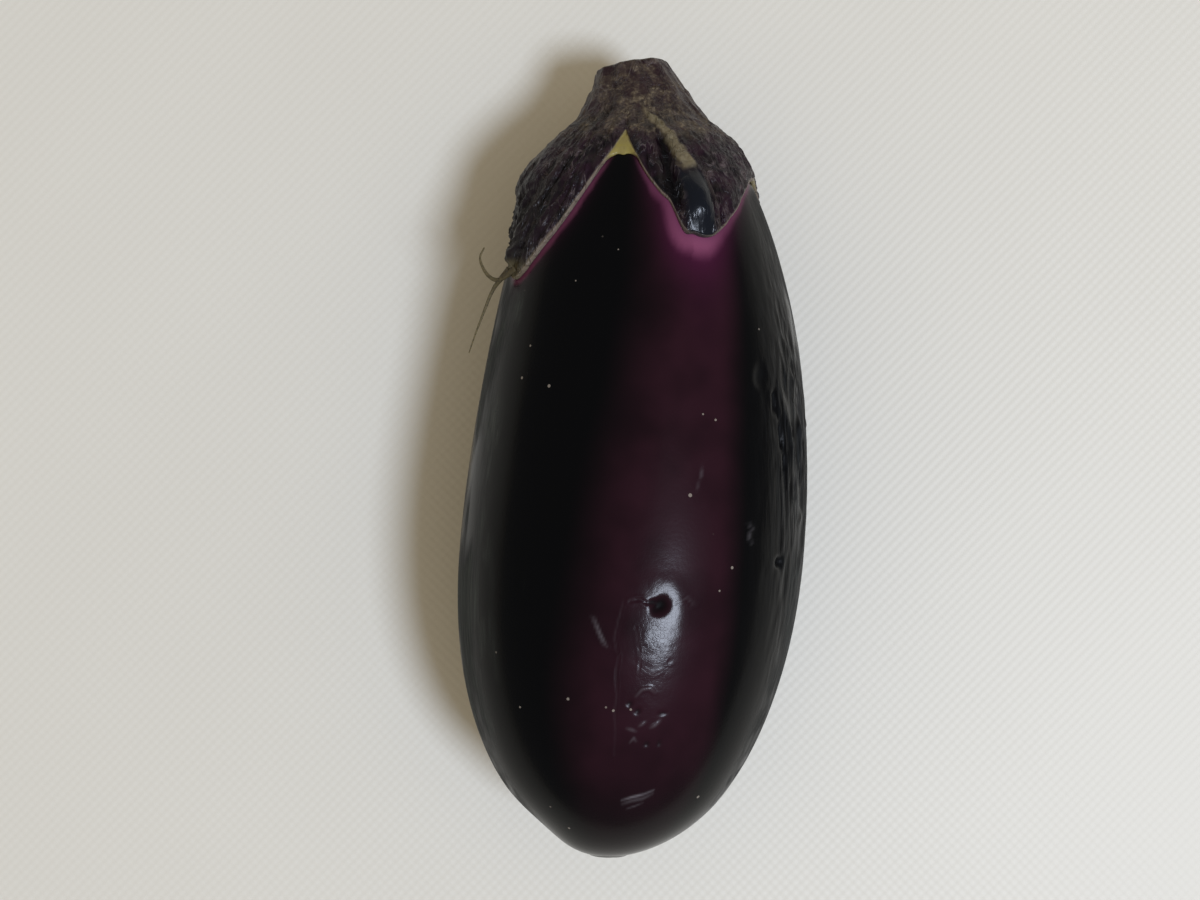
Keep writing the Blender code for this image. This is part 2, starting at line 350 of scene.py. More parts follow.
def nearNotch(angle, width):
    # 1 in a notch, falling away as a bell on both sides
    total = sum(bell(angleFrom(angle, lobe[1][0]), width) for lobe in calyx["lobes"])
    return np.clip(total, 0.0, 1.0)


def rimLength(angle):
    # how far the cut edge of the calyx slopes from its outside to the skin: a smooth maximum of the
    # usual width and the bare flesh of each notch
    length = np.full_like(angle, calyx["rimWidth"])
    for lobe in calyx["lobes"]:
        notchAngle = lobe[1][0]
        deep, wide, rounding = lobe[3]
        off = np.sqrt(angleFrom(angle, notchAngle) ** 2 + rounding ** 2) - rounding
        bare = deep * (1.0 - off / wide).clip(0.0, 1.0) ** 1.8
        length = 0.5 * (length + bare + np.sqrt((length - bare) ** 2 + 0.06))
    return length


def calyxOuterRadius(y, angle, thickness):
    # the fruit grown by the thickness, blended with the neck's cone by a smooth minimum
    cap = sectionRadius(y, calyx["gap"]) + thickness
    centre, station, wide, long, height = calyx["leftSwelling"]
    cap = cap + height * bell(angleFrom(angle, centre), wide) * bell(y - station, long)
    below = calyx["neckY"] - y
    cone = calyx["neckRadius"] + calyx["neckSlope"] * below
    overlap = np.clip(0.5 + 0.5 * (cap - cone) / calyx["neckFillet"], 0.0, 1.0)
    joined = cone + (cap - cone) * overlap + 0.5 * calyx["neckFillet"] * overlap * (1.0 - overlap)
    fade = smoothstep((below - 0.5 * calyx["neckLength"]) / (0.5 * calyx["neckLength"]))
    return joined + (cap - joined) * fade


def neckLean(y):
    # sideways shift that grows along the neck
    return calyx["neckLeanX"] * smoothstep(1.0 - (calyx["neckY"] - y) / calyx["neckLength"])


def stemRadius(y):
    # a cone that flares towards the calyx: top + (neck - top) * down^1.15
    flare = ((stem["topY"] - y) / (stem["topY"] - calyx["neckY"])).clip(0.0, None)
    return stem["topRadius"] + (calyx["neckRadius"] - stem["topRadius"]) * flare ** 1.15


def stemRidges(angle, y):
    # uneven lengthwise ridges: two cosines, loosened by noise along a cylinder
    turn = np.radians(angle)
    along = np.stack(np.broadcast_arrays(8.0 * np.cos(turn), y, 8.0 * np.sin(turn)), axis=-1)
    bent = turn + 0.14 * latticeNoise(along, 6.0, 71)
    waves = 0.26 * np.cos(7.0 * bent + 0.6) + 0.13 * np.cos(13.0 * bent)
    return waves + 0.34 * roughNoise(along, (1.5, 7.0, 1.5), 73, 3)


def scurfAround(place, angle):
    # blotchy cork at the base of calyx and stem, most of it on the upper side
    upper = 0.45 + 0.55 * bell(angleFrom(angle, 86.0), 30.0)
    return 1.05 * upper * (0.6 + 0.8 * roughNoise(place, (1.5, 2.0, 1.5), 79, 3))


def makeCalyx(material):
    # closed shell: neck face, outside down to the margin, cut edge, and inside back up to the axis
    angle = np.arange(calyx["columns"]) * 360.0 / calyx["columns"]
    turn = np.radians(angle)
    loop = np.stack([np.cos(turn), 0.0 * turn, np.sin(turn)], -1) * 30.0
    margin = marginY(angle) + 0.28 * roughNoise(loop, 2.4, 51, 2)
    share = np.linspace(0.0, 1.0, calyx["outerRows"])[:, None]
    # the first rows lie inside the stem, so that no edge shows where the two meet
    topY = calyx["neckY"] + calyx["tuckedIn"]
    y = topY + (margin - topY) * share
    turned = np.broadcast_to(angle, y.shape)

    # the sheet thins towards its edge, but not at the blunt tip of the keel
    inside = y - margin
    keelRoute, keelWide, keelHeight = calyx["keel"]
    keelGap, keelShare = strokeDistance(turned, y, keelRoute)
    keelMask = smoothstep((keelWide + 0.6 - keelGap) / 1.6) * smoothstep(keelShare * 4.0)
    keelDome = np.sqrt(np.clip(1.0 - (keelGap / (keelWide + 0.4)) ** 2, 0.0, 1.0))
    keelDome = keelDome * smoothstep(keelShare * 2.2) * smoothstep((y - 38.0) / 7.6)
    edge = calyx["edgeThickness"]
    thickness = edge + (calyx["thickness"] - edge) * smoothstep(inside / 6.0 + 0.15)
    thickness = thickness + keelHeight * keelDome
    radius = calyxOuterRadius(y, turned, thickness)
    place = ringPoint(y, radius, turned)

    lobeAngle, lobeSpread = calyx["leftLobe"]
    leftLobe = bell(angleFrom(turned, lobeAngle), lobeSpread) * smoothstep((56.0 - y) / 8.0)
    calm = (1.0 - 0.85 * keelMask) * smoothstep(share * 6.0 + 0.2)
    onCap = smoothstep((calyx["neckY"] - y) / 9.0)
    # lengthwise folds, which fan out from the neck over the two upper lobes, and the crumpling of
    # drying leather
    slant = 0.8 * bell(angleFrom(turned, 72.0), 25.0) - 1.1 * bell(angleFrom(turned, 140.0), 30.0)
    alongLobe = turned - slant * (y - 38.0)
    lengthwise = np.stack([np.radians(alongLobe) * 24.0, y * 0.20, 0.0 * y], -1)
    folds = roughNoise(lengthwise, 1.9, 53, 2)
    folds = np.clip(1.0 - 2.4 * np.abs(folds), -0.7, 1.0) * (0.75 + 0.75 * leftLobe)
    crumple = 1.0 - 2.2 * np.abs(roughNoise(place, (2.4, 3.2, 2.4), 55, 3))
    fineCrumple = roughNoise(place, 0.9, 59, 2)
    lift = calyx["folds"] * folds + calyx["crumple"] * crumple + calyx["fineCrumple"] * fineCrumple
    lift *= calm * onCap
    for ribAngle, height in calyx["ribs"]:
        rib = bell(np.radians(angleFrom(turned, ribAngle + 2.0 * folds)) * 28.0, 1.6)
        lift += height * rib * onCap * smoothstep(inside / 3.0)
    spacing, height = calyx["warts"]
    warts = np.clip(1.0 - 1.9 * wartNoise(place, spacing, 61), 0.0, 1.0)
    warty = bell(angleFrom(turned, 163.0), 22.0) * smoothstep((52.0 - y) / 8.0) * (1.0 - keelMask)
    lift += height * warts * (warty + 0.25 * onCap * calm)

    # the hollow beside the keel, the corky scar, the pale crease and the left lobe's vein
    wingRoute, wingWide, wingDepth = calyx["keelWing"]
    wingGap, wingShare = strokeDistance(turned, y, wingRoute)
    wing = bell(wingGap, wingWide) * smoothstep(wingShare * 5.0)
    lift -= wingDepth * wing * (1.0 - 0.8 * keelMask)
    scarRoute, scarWide, scarHeight = calyx["scar"]
    scarGap, scarShare = strokeDistance(turned, y, scarRoute, calyx["scarReach"])
    scarGap = scarGap + 1.3 * roughNoise(place, 1.5, 63, 3)
    scarEnd = smoothstep(scarShare * 5.0) * smoothstep((1.0 - scarShare) * 6.0 + 0.2)
    scar = smoothstep((scarWide * (0.30 + 0.80 * scarShare) - scarGap) / 1.1 + 0.5) * scarEnd
    lift += scarHeight * scar * (0.8 + 0.9 * roughNoise(place, 1.0, 65, 2))
    lineRoute, lineWide, lineDepth = calyx["paleLine"]
    lineGap = strokeDistance(turned, y, lineRoute)[0]
    line = bell(lineGap, lineWide)
    lift += lineDepth * line - 0.5 * bell(lineGap - 0.9, 0.5) * (angleFrom(turned, 60.0) < 0.0)
    veinRoute, veinWide, veinHeight = calyx["leftVein"]
    veinGap = strokeDistance(turned, y, veinRoute)[0]
    vein = bell(veinGap, veinWide)
    lift += veinHeight * vein - 0.35 * bell(veinGap - 2.4, 1.0)
    # towards the stem: rough scurf, and the stem's own ridges
    collar = window(y, *calyx["collar"])
    lift += 0.22 * collar * smoothstep((69.0 - y) / 3.0) * roughNoise(place, (1.2, 2.2, 1.2), 67, 3)
    lift += smoothstep((y - 56.0) / 10.0) * stemRidges(turned, y)
    lift *= smoothstep(inside / 0.8 + 0.25)
    # at the very end the shell and the stem share one surface
    over = y - calyx["neckY"]
    shared = stemRadius(y) + stemRidges(turned, y) - np.where(over > 0.0, 0.6, 0.12) * over
    radius = radius + (shared - radius) * smoothstep(1.0 + over / 2.5)
    radius = np.maximum(radius + lift, sectionRadius(y, calyx["gap"]) + 0.35)
    outer = ringPoint(y, radius, turned)
    outer[..., 0] += neckLean(y)

    # neck face: from its middle out to the first ring
    centre = outer[0].mean(axis=0)
    neckShare = np.linspace(0.0, 1.0, calyx["neckRows"], endpoint=False)[:, None, None]
    neck = centre + (outer[0] - centre) * neckShare

    # cut edge: a quarter of an ellipse from the outside's edge down to the skin
    rimShare = np.linspace(0.0, 1.0, calyx["rimRows"] + 1)[1:, None]
    rimTurn = rimShare * math.pi / 2.0
    rimY = margin - rimLength(angle) * np.sin(rimTurn)
    edgeLift = np.maximum(radius[-1] - sectionRadius(margin), 0.1)
    rimRadius = sectionRadius(rimY) + calyx["skinClearance"] + edgeLift * np.cos(rimTurn)
    rimTurned = np.broadcast_to(angle, rimY.shape)
    fibrous = roughNoise(ringPoint(rimY, rimRadius, rimTurned), (0.7, 1.5, 0.7), 69, 2)
    rimRadius = rimRadius + 0.12 * fibrous * np.sin(2.0 * rimTurn) * (0.4 + nearNotch(rimTurned, 8.0))
    rim = ringPoint(rimY, rimRadius, rimTurned)

    # inside: follows the fruit a hair above it, up to the axis
    reach = body["shoulderLength"] + calyx["gap"]
    innerStart = np.arccos((rimY[-1] - body["bellyY"]) / reach)
    innerShare = np.linspace(1.0, 0.0, calyx["innerRows"] + 1)[1:, None]
    innerY = body["bellyY"] + reach * np.cos(innerStart * innerShare)
    closest = calyx["skinClearance"]
    clear = closest + (calyx["gap"] - closest) * smoothstep((1.0 - innerShare) * 3.0)
    innerRadius = sectionRadius(innerY, clear) * (innerShare > 0.0)
    inner = ringPoint(innerY, innerRadius, np.broadcast_to(angle, innerY.shape))

    points = np.concatenate([neck, outer, rim, inner])

    def whole(outerMask, neckValue, rimValue):
        # a mask over all four parts, and nothing on the inside
        atNeck = np.full((len(neck), calyx["columns"]), neckValue)
        atRim = np.broadcast_to(rimValue, rimY.shape)
        return np.concatenate([atNeck, outerMask, atRim, np.zeros(innerY.shape)])

    notchHere = nearNotch(turned, 5.0)
    closeEdge = smoothstep((0.15 - inside) / 0.3 + 0.5)
    # dried tips, except on the keel's lobe
    tipDry = bell(angleFrom(turned, 154.0), 9.0) * smoothstep((36.5 - y) / 2.0)
    for lobe in calyx["lobes"][2:]:
        tipAngle, tipY = lobe[0]
        dry = bell(angleFrom(turned, tipAngle), 5.0) * smoothstep((tipY + 1.6 - y) / 1.2)
        tipDry = np.maximum(tipDry, dry)
    paleStreaks = bell(roughNoise(place, (2.6, 3.4, 2.6), 77, 2), 0.10)
    scurfy = np.maximum(collar * scurfAround(place, turned), scar)
    fleshy = smoothstep(nearNotch(rimTurned, 6.5) * 2.2)
    fleshy = fleshy * (1.0 - 0.5 * bell(angleFrom(rimTurned, 6.0), 12.0))
    creamy = 1.0 - 0.85 * bell(angleFrom(rimTurned, 69.0), 9.0)
    # the crease by the keel and the left lobe's vein are painted pale as highlights on their ridges;
    # the fine vein noise is real pale vein
    veinsAndGlints = 0.8 * line + 0.55 * vein + 0.35 * paleStreaks * calm * onCap
    masks = {
        "fleshNotch": whole(0.6 * notchHere * closeEdge, 0.0, fleshy),
        "creamRim": whole(0.8 * closeEdge * (1.0 - keelMask), 0.0, creamy),
        "scurf": whole(np.clip(scurfy, 0.0, 1.0), 0.6, 0.0),
        "corkScar": whole(scar, 0.0, 0.0),
        "keelGloss": whole(keelMask * (1.0 - scar), 0.0, bell(angleFrom(rimTurned, 68.0), 7.0)),
        # the hollow beside the keel painted near-black: painted shade
        "wingHollowShade": whole(np.clip(wing * (1.0 - keelMask), 0.0, 1.0), 0.0, 0.0),
        # wart tops painted grey: painted glints
        "wartTopGlint": whole(warty * warts, 0.0, 0.0),
        "veinsAndRidgeGlints": whole(np.clip(veinsAndGlints, 0.0, 1.0), 0.0, 0.0),
        "raised": whole(np.clip(0.5 + lift, 0.0, 1.0), 0.5, 0.5),
        "nearStem": whole(smoothstep((y - 60.0) / 9.5), 1.0, 0.0),
        "leftLobe": whole(leftLobe, 0.0, 0.0),
        "dryTip": whole(tipDry, 0.0, bell(angleFrom(rimTurned, 154.0), 10.0)),
    }
    return meshFromRows("eggplant_calyx", points, material, masks)


def leatherLook(material, place, raised, scurf, nearStem, paleStreaks):
    # Dried plum-black leather, shared by sepals and stem so that one runs into the other: soft
    # blotches, thin pale creases and raised crests painted paler, partly as painted highlights, and
    # grey-khaki cork. Returns colour, roughness, height.
    lengthwise = addNode(material, "Mapping", {"Vector": place, "Scale": (1.0, 0.35, 1.0)})
    blotches = addNode(material, "TexNoise", {"Vector": place, "Scale": 260.0, "Detail": 3.0})
    swirls = {"Vector": lengthwise, "Scale": 360.0, "Detail": 4.0, "Distortion": 1.0}
    swirled = addNode(material, "TexNoise", swirls)
    fibres = addNode(material, "TexNoise", {"Vector": lengthwise, "Scale": 1300.0, "Detail": 3.0})
    grit = addNode(material, "TexNoise", {"Vector": place, "Scale": 1700.0, "Detail": 3.0})
    patches = addNode(material, "TexNoise", {"Vector": place, "Scale": 420.0, "Detail": 4.0})
    plum = addNode(material, "MapRange", {"Value": blotches, 1: 0.42, 2: 0.60})
    patchy = addNode(material, "MapRange", {"Value": patches, 1: 0.45, 2: 0.58})
    # creases 2 to 3 mm apart: thin lines where the noise crosses its middle, painted pale partly as
    # crease highlights
    crests = addNode(material, "Math", {0: swirled, 1: 0.5}, operation="SUBTRACT")
    crests = addNode(material, "Math", {0: crests}, operation="ABSOLUTE")
    thin = addNode(material, "MapRange", {"Value": crests, 1: 0.0, 2: 0.035, 3: 1.0, 4: 0.0})
    broad = addNode(material, "MapRange", {"Value": crests, 1: 0.0, 2: 0.14, 3: 1.0, 4: 0.0})
    # raised crests painted paler: partly wear, partly painted highlight
    wornAndLitCrests = addNode(material, "MapRange", {"Value": raised, 1: 0.55, 2: 1.05})
    wornAndLitCrests = addNode(material, "Math", {0: wornAndLitCrests, 1: 0.15}, operation="MULTIPLY")
    lineShare = addNode(material, "Math", {0: patchy, 1: 0.46, 2: 0.04}, operation="MULTIPLY_ADD")
    paleCreasesAndGlints = addNode(material, "Math", {0: thin, 1: lineShare}, operation="MULTIPLY")
    corkShare = addNode(material, "Math", {0: patchy, 1: 0.75, 2: 0.25}, operation="MULTIPLY_ADD")
    cork = addNode(material, "Math", {0: scurf, 1: corkShare}, operation="MULTIPLY")
    grizzled = addNode(material, "MapRange", {"Value": grit, 1: 0.50, 2: 0.66})
    grizzled = addNode(material, "Math", {0: grizzled, 1: cork}, operation="MULTIPLY")
    reddish = addNode(material, "Math", {0: nearStem, 1: 0.8}, operation="MULTIPLY")
    colour = linear("#0c080b")
    for cover, coat in (
        (plum, "#210f1b"),
        (reddish, "#27151d"),
        # painted highlight on raised crests, partly wear
        (wornAndLitCrests, "#3c2b37"),
        # pale creases, partly painted highlights
        (paleCreasesAndGlints, "#776b6d"),
        # pale vein marks, and pale painted on ridge crests as highlights
        (paleStreaks, "#5c524c"),
        (cork, "#5f5446"),
        (grizzled, "#857a66"),
    ):
        layer = {0: cover, 6: colour, 7: linear(coat)}
        colour = addNode(material, "Mix", layer, pick=2, data_type="RGBA")
    rough = addNode(material, "Math", {0: grit, 1: 0.16, 2: 0.23}, operation="MULTIPLY_ADD")
    duller = {0: cork, 1: 0.35, 2: rough}
    rough = addNode(material, "Math", duller, operation="MULTIPLY_ADD", use_clamp=True)
    height = addNode(material, "Math", {0: grit, 1: 0.35}, operation="MULTIPLY")
    for part, amount in ((fibres, 0.35), (broad, 0.30), (thin, 0.35), (cork, 0.4)):
        height = addNode(material, "Math", {0: part, 1: amount, 2: height}, operation="MULTIPLY_ADD")
    return colour, rough, height


def calyxMaterial():
    # Sepals: thick plum-black leather, dried and wrinkled, with corky khaki scurf by the stem, cream
    # cut edges, green-yellow flesh in the notches and a waxy blue-black keel. The hollow beside the
    # keel is painted near-black as shade, and wart tops and ridge crests are painted pale as
    # highlights.
    material, shader, place, mask = newMaterial("dryingSepalLeather", (
        "fleshNotch", "creamRim", "scurf", "corkScar", "keelGloss", "wingHollowShade", "wartTopGlint", "veinsAndRidgeGlints",
        "raised", "leftLobe", "dryTip", "nearStem"), IOR=1.29)
    paleStreaks = addNode(material, "Math", {0: mask["veinsAndRidgeGlints"], 1: 0.32}, operation="MULTIPLY")
    colour, rough, height = leatherLook(
        material, place, mask["raised"], mask["scurf"], mask["nearStem"], paleStreaks)
    strands = addNode(material, "TexNoise", {"Vector": place, "Scale": 900.0, "Detail": 3.0})
    uneven = {0: strands, 1: 0.7, 2: 0.5}
    stringy = addNode(material, "Math", uneven, operation="MULTIPLY_ADD", use_clamp=True)
    share = {}
    for name, amount in (("leftLobe", 0.68), ("wartTopGlint", 0.6), ("creamRim", 0.6), ("dryTip", 0.8),
                         ("corkScar", stringy), ("fleshNotch", stringy)):
        share[name] = addNode(material, "Math", {0: mask[name], 1: amount}, operation="MULTIPLY")
    for cover, coat in (
        (share["leftLobe"], "#0c0d0f"),
        (share["corkScar"], "#756c56"),
        # painted shade in the hollow beside the keel
        (mask["wingHollowShade"], "#050304"),
        (mask["keelGloss"], "#12151c"),
        # painted glints on the wart tops
        (share["wartTopGlint"], "#4b4b47"),
        (share["creamRim"], "#8d8174"),
        (share["fleshNotch"], "#8f8449"),
        (share["dryTip"], "#5f5840"),
    ):
        layer = {0: cover, 6: colour, 7: linear(coat)}
        colour = addNode(material, "Mix", layer, pick=2, data_type="RGBA")
    glossier = {0: mask["keelGloss"], 1: -0.10, 2: rough}
    rough = addNode(material, "Math", glossier, operation="MULTIPLY_ADD")
    # the keel and the flesh stay nearly smooth
    even = {0: mask["keelGloss"], 1: mask["fleshNotch"]}
    smooth = addNode(material, "Math", even, operation="MAXIMUM")
    grainy = addNode(material, "Math", {0: smooth, 1: -0.88, 2: 1.0}, operation="MULTIPLY_ADD")
    height = addNode(material, "Math", {0: height, 1: grainy}, operation="MULTIPLY")
    bump = addNode(material, "Bump", {"Height": height, "Strength": 0.9, "Distance": 0.0005})
    return joinFinish(material, shader, colour, rough, bump)


stem = {
    "columns": 200,
    "sideRows": 44,
    "faceRows": 12,
    "baseY": 66.6,                # sunk into the calyx's neck, so that no gap shows
    "topY": 74.3,
    "topRadius": 6.75,
    "leanX": -1.6,
    "cutSlope": 0.17,
    "edge": 0.6,                  # rounding of the cut's edge
    "hollow": 0.55,               # how far the dried pith has sunk
}


def makeStem(material):
    # cut face from its middle outwards, a rounded edge, ridged sides, and a closed base
    angle = np.arange(stem["columns"]) * 360.0 / stem["columns"]
    faceShare = np.linspace(0.0, 1.0, stem["faceRows"], endpoint=False)[:, None]
    sideShare = np.linspace(0.0, 1.0, stem["sideRows"])[:, None]
    y = stem["topY"] + (stem["baseY"] - stem["topY"]) * sideShare
    turned = np.broadcast_to(angle, y.shape[:1] + angle.shape)
    y = np.broadcast_to(y, turned.shape)
    above = smoothstep((y - calyx["neckY"] + 0.1) / 1.2)
    below = smoothstep((calyx["neckY"] - y) / 1.0)
    place = ringPoint(y, stemRadius(y), turned)
    relief = stemRidges(turned, y)
    radius = stemRadius(y) + relief + 0.12 * above * roughNoise(place, 0.9, 81, 2) - 0.6 * below
    # the cut's edge is a quarter circle
    fromTop = stem["topY"] - y
    towardsCut = (1.0 - fromTop / stem["edge"]).clip(0.0, 1.0)
    radius = radius - stem["edge"] * (1.0 - np.sqrt(1.0 - towardsCut ** 2))
    rise = ((y - calyx["neckY"]) / (stem["topY"] - calyx["neckY"])).clip(0.0, 1.0)
    lean = calyx["neckLeanX"] + stem["leanX"] * rise
    side = ringPoint(y, radius, turned)
    side[..., 0] += lean
    side[..., 1] += stem["cutSlope"] * radius * np.cos(np.radians(turned)) * rise
    centre = side[0].mean(axis=0)
    face = centre + (side[0] - centre) * faceShare[..., None]
    sunk = stem["hollow"] * smoothstep((1.0 - faceShare) * 2.2) * smoothstep(faceShare * 2.0 + 0.45)
    face[..., 1] -= sunk + 0.14 * roughNoise(face, (0.9, 0.9, 0.9), 83, 2) * smoothstep(faceShare * 3.0)
    bottom = np.broadcast_to(side[-1].mean(axis=0), (1, stem["columns"], 3))
    points = np.concatenate([face, side, bottom])
    onFace, atBase = np.zeros(face.shape[:2]), np.zeros((1, len(angle)))
    faceShares = np.broadcast_to(faceShare, face.shape[:2])
    masks = {
        "cutFace": np.concatenate([onFace + 1.0, smoothstep(1.0 - fromTop / 0.5), atBase]),
        "ringAt": np.concatenate([faceShares, np.ones(turned.shape), atBase + 1.0]),
    }
    sides = {
        "raised": np.clip(0.5 + relief, 0.0, 1.0),
        "scurf": np.clip((1.0 - 0.45 * rise) * scurfAround(place, turned), 0.0, 1.0),
        # pale painted along the ridge crests: painted highlights
        "veinsAndRidgeGlints": rise * bell(relief - 0.3, 0.08),
    }
    for maskName, values in sides.items():
        masks[maskName] = np.concatenate([onFace, values, atBase])
    return meshFromRows("eggplant_stem", points, material, masks)


def stemMaterial():
    # Peduncle: plum-brown ribbed bark with grey-khaki scurf; the cut has dried to fibrous tan, darker
    # at the ring of vessels and paler at the pith.
    material, shader, place, mask = newMaterial("ridgedPeduncleBark", (
        "cutFace", "ringAt", "raised", "scurf", "veinsAndRidgeGlints"), IOR=1.29)
    # pale on the ridge crests is a painted highlight
    paleStreaks = addNode(material, "Math", {0: mask["veinsAndRidgeGlints"], 1: 0.35}, operation="MULTIPLY")
    bark, rough, height = leatherLook(material, place, mask["raised"], mask["scurf"], 1.0, paleStreaks)
    grit = addNode(material, "TexNoise", {"Vector": place, "Scale": 1800.0, "Detail": 3.0})
    pores = addNode(material, "MapRange", {"Value": grit, 1: 0.5, 2: 0.75})
    pith = addNode(material, "Math", {0: mask["ringAt"], 1: 0.42}, operation="LESS_THAN")
    vessels = addNode(material, "Math", {0: mask["ringAt"], 1: 0.74, 2: 0.07}, operation="COMPARE")
    vessels = addNode(material, "Math", {0: vessels, 1: 0.7}, operation="MULTIPLY")
    skin = addNode(material, "Math", {0: mask["ringAt"], 1: 0.9}, operation="GREATER_THAN")
    face = linear("#7b6a48")
    for cover, coat in (
        (pith, "#93855f"),
        (vessels, "#4c3c27"),
        (skin, "#3f3324"),
        (pores, "#5a4c33"),
    ):
        layer = {0: cover, 6: face, 7: linear(coat)}
        face = addNode(material, "Mix", layer, pick=2, data_type="RGBA")
    colour = addNode(material, "Mix", {0: mask["cutFace"], 6: bark, 7: face}, pick=2, data_type="RGBA")
    bump = addNode(material, "Bump", {"Height": height, "Strength": 0.9, "Distance": 0.0005})
    return joinFinish(material, shader, colour, rough, bump)


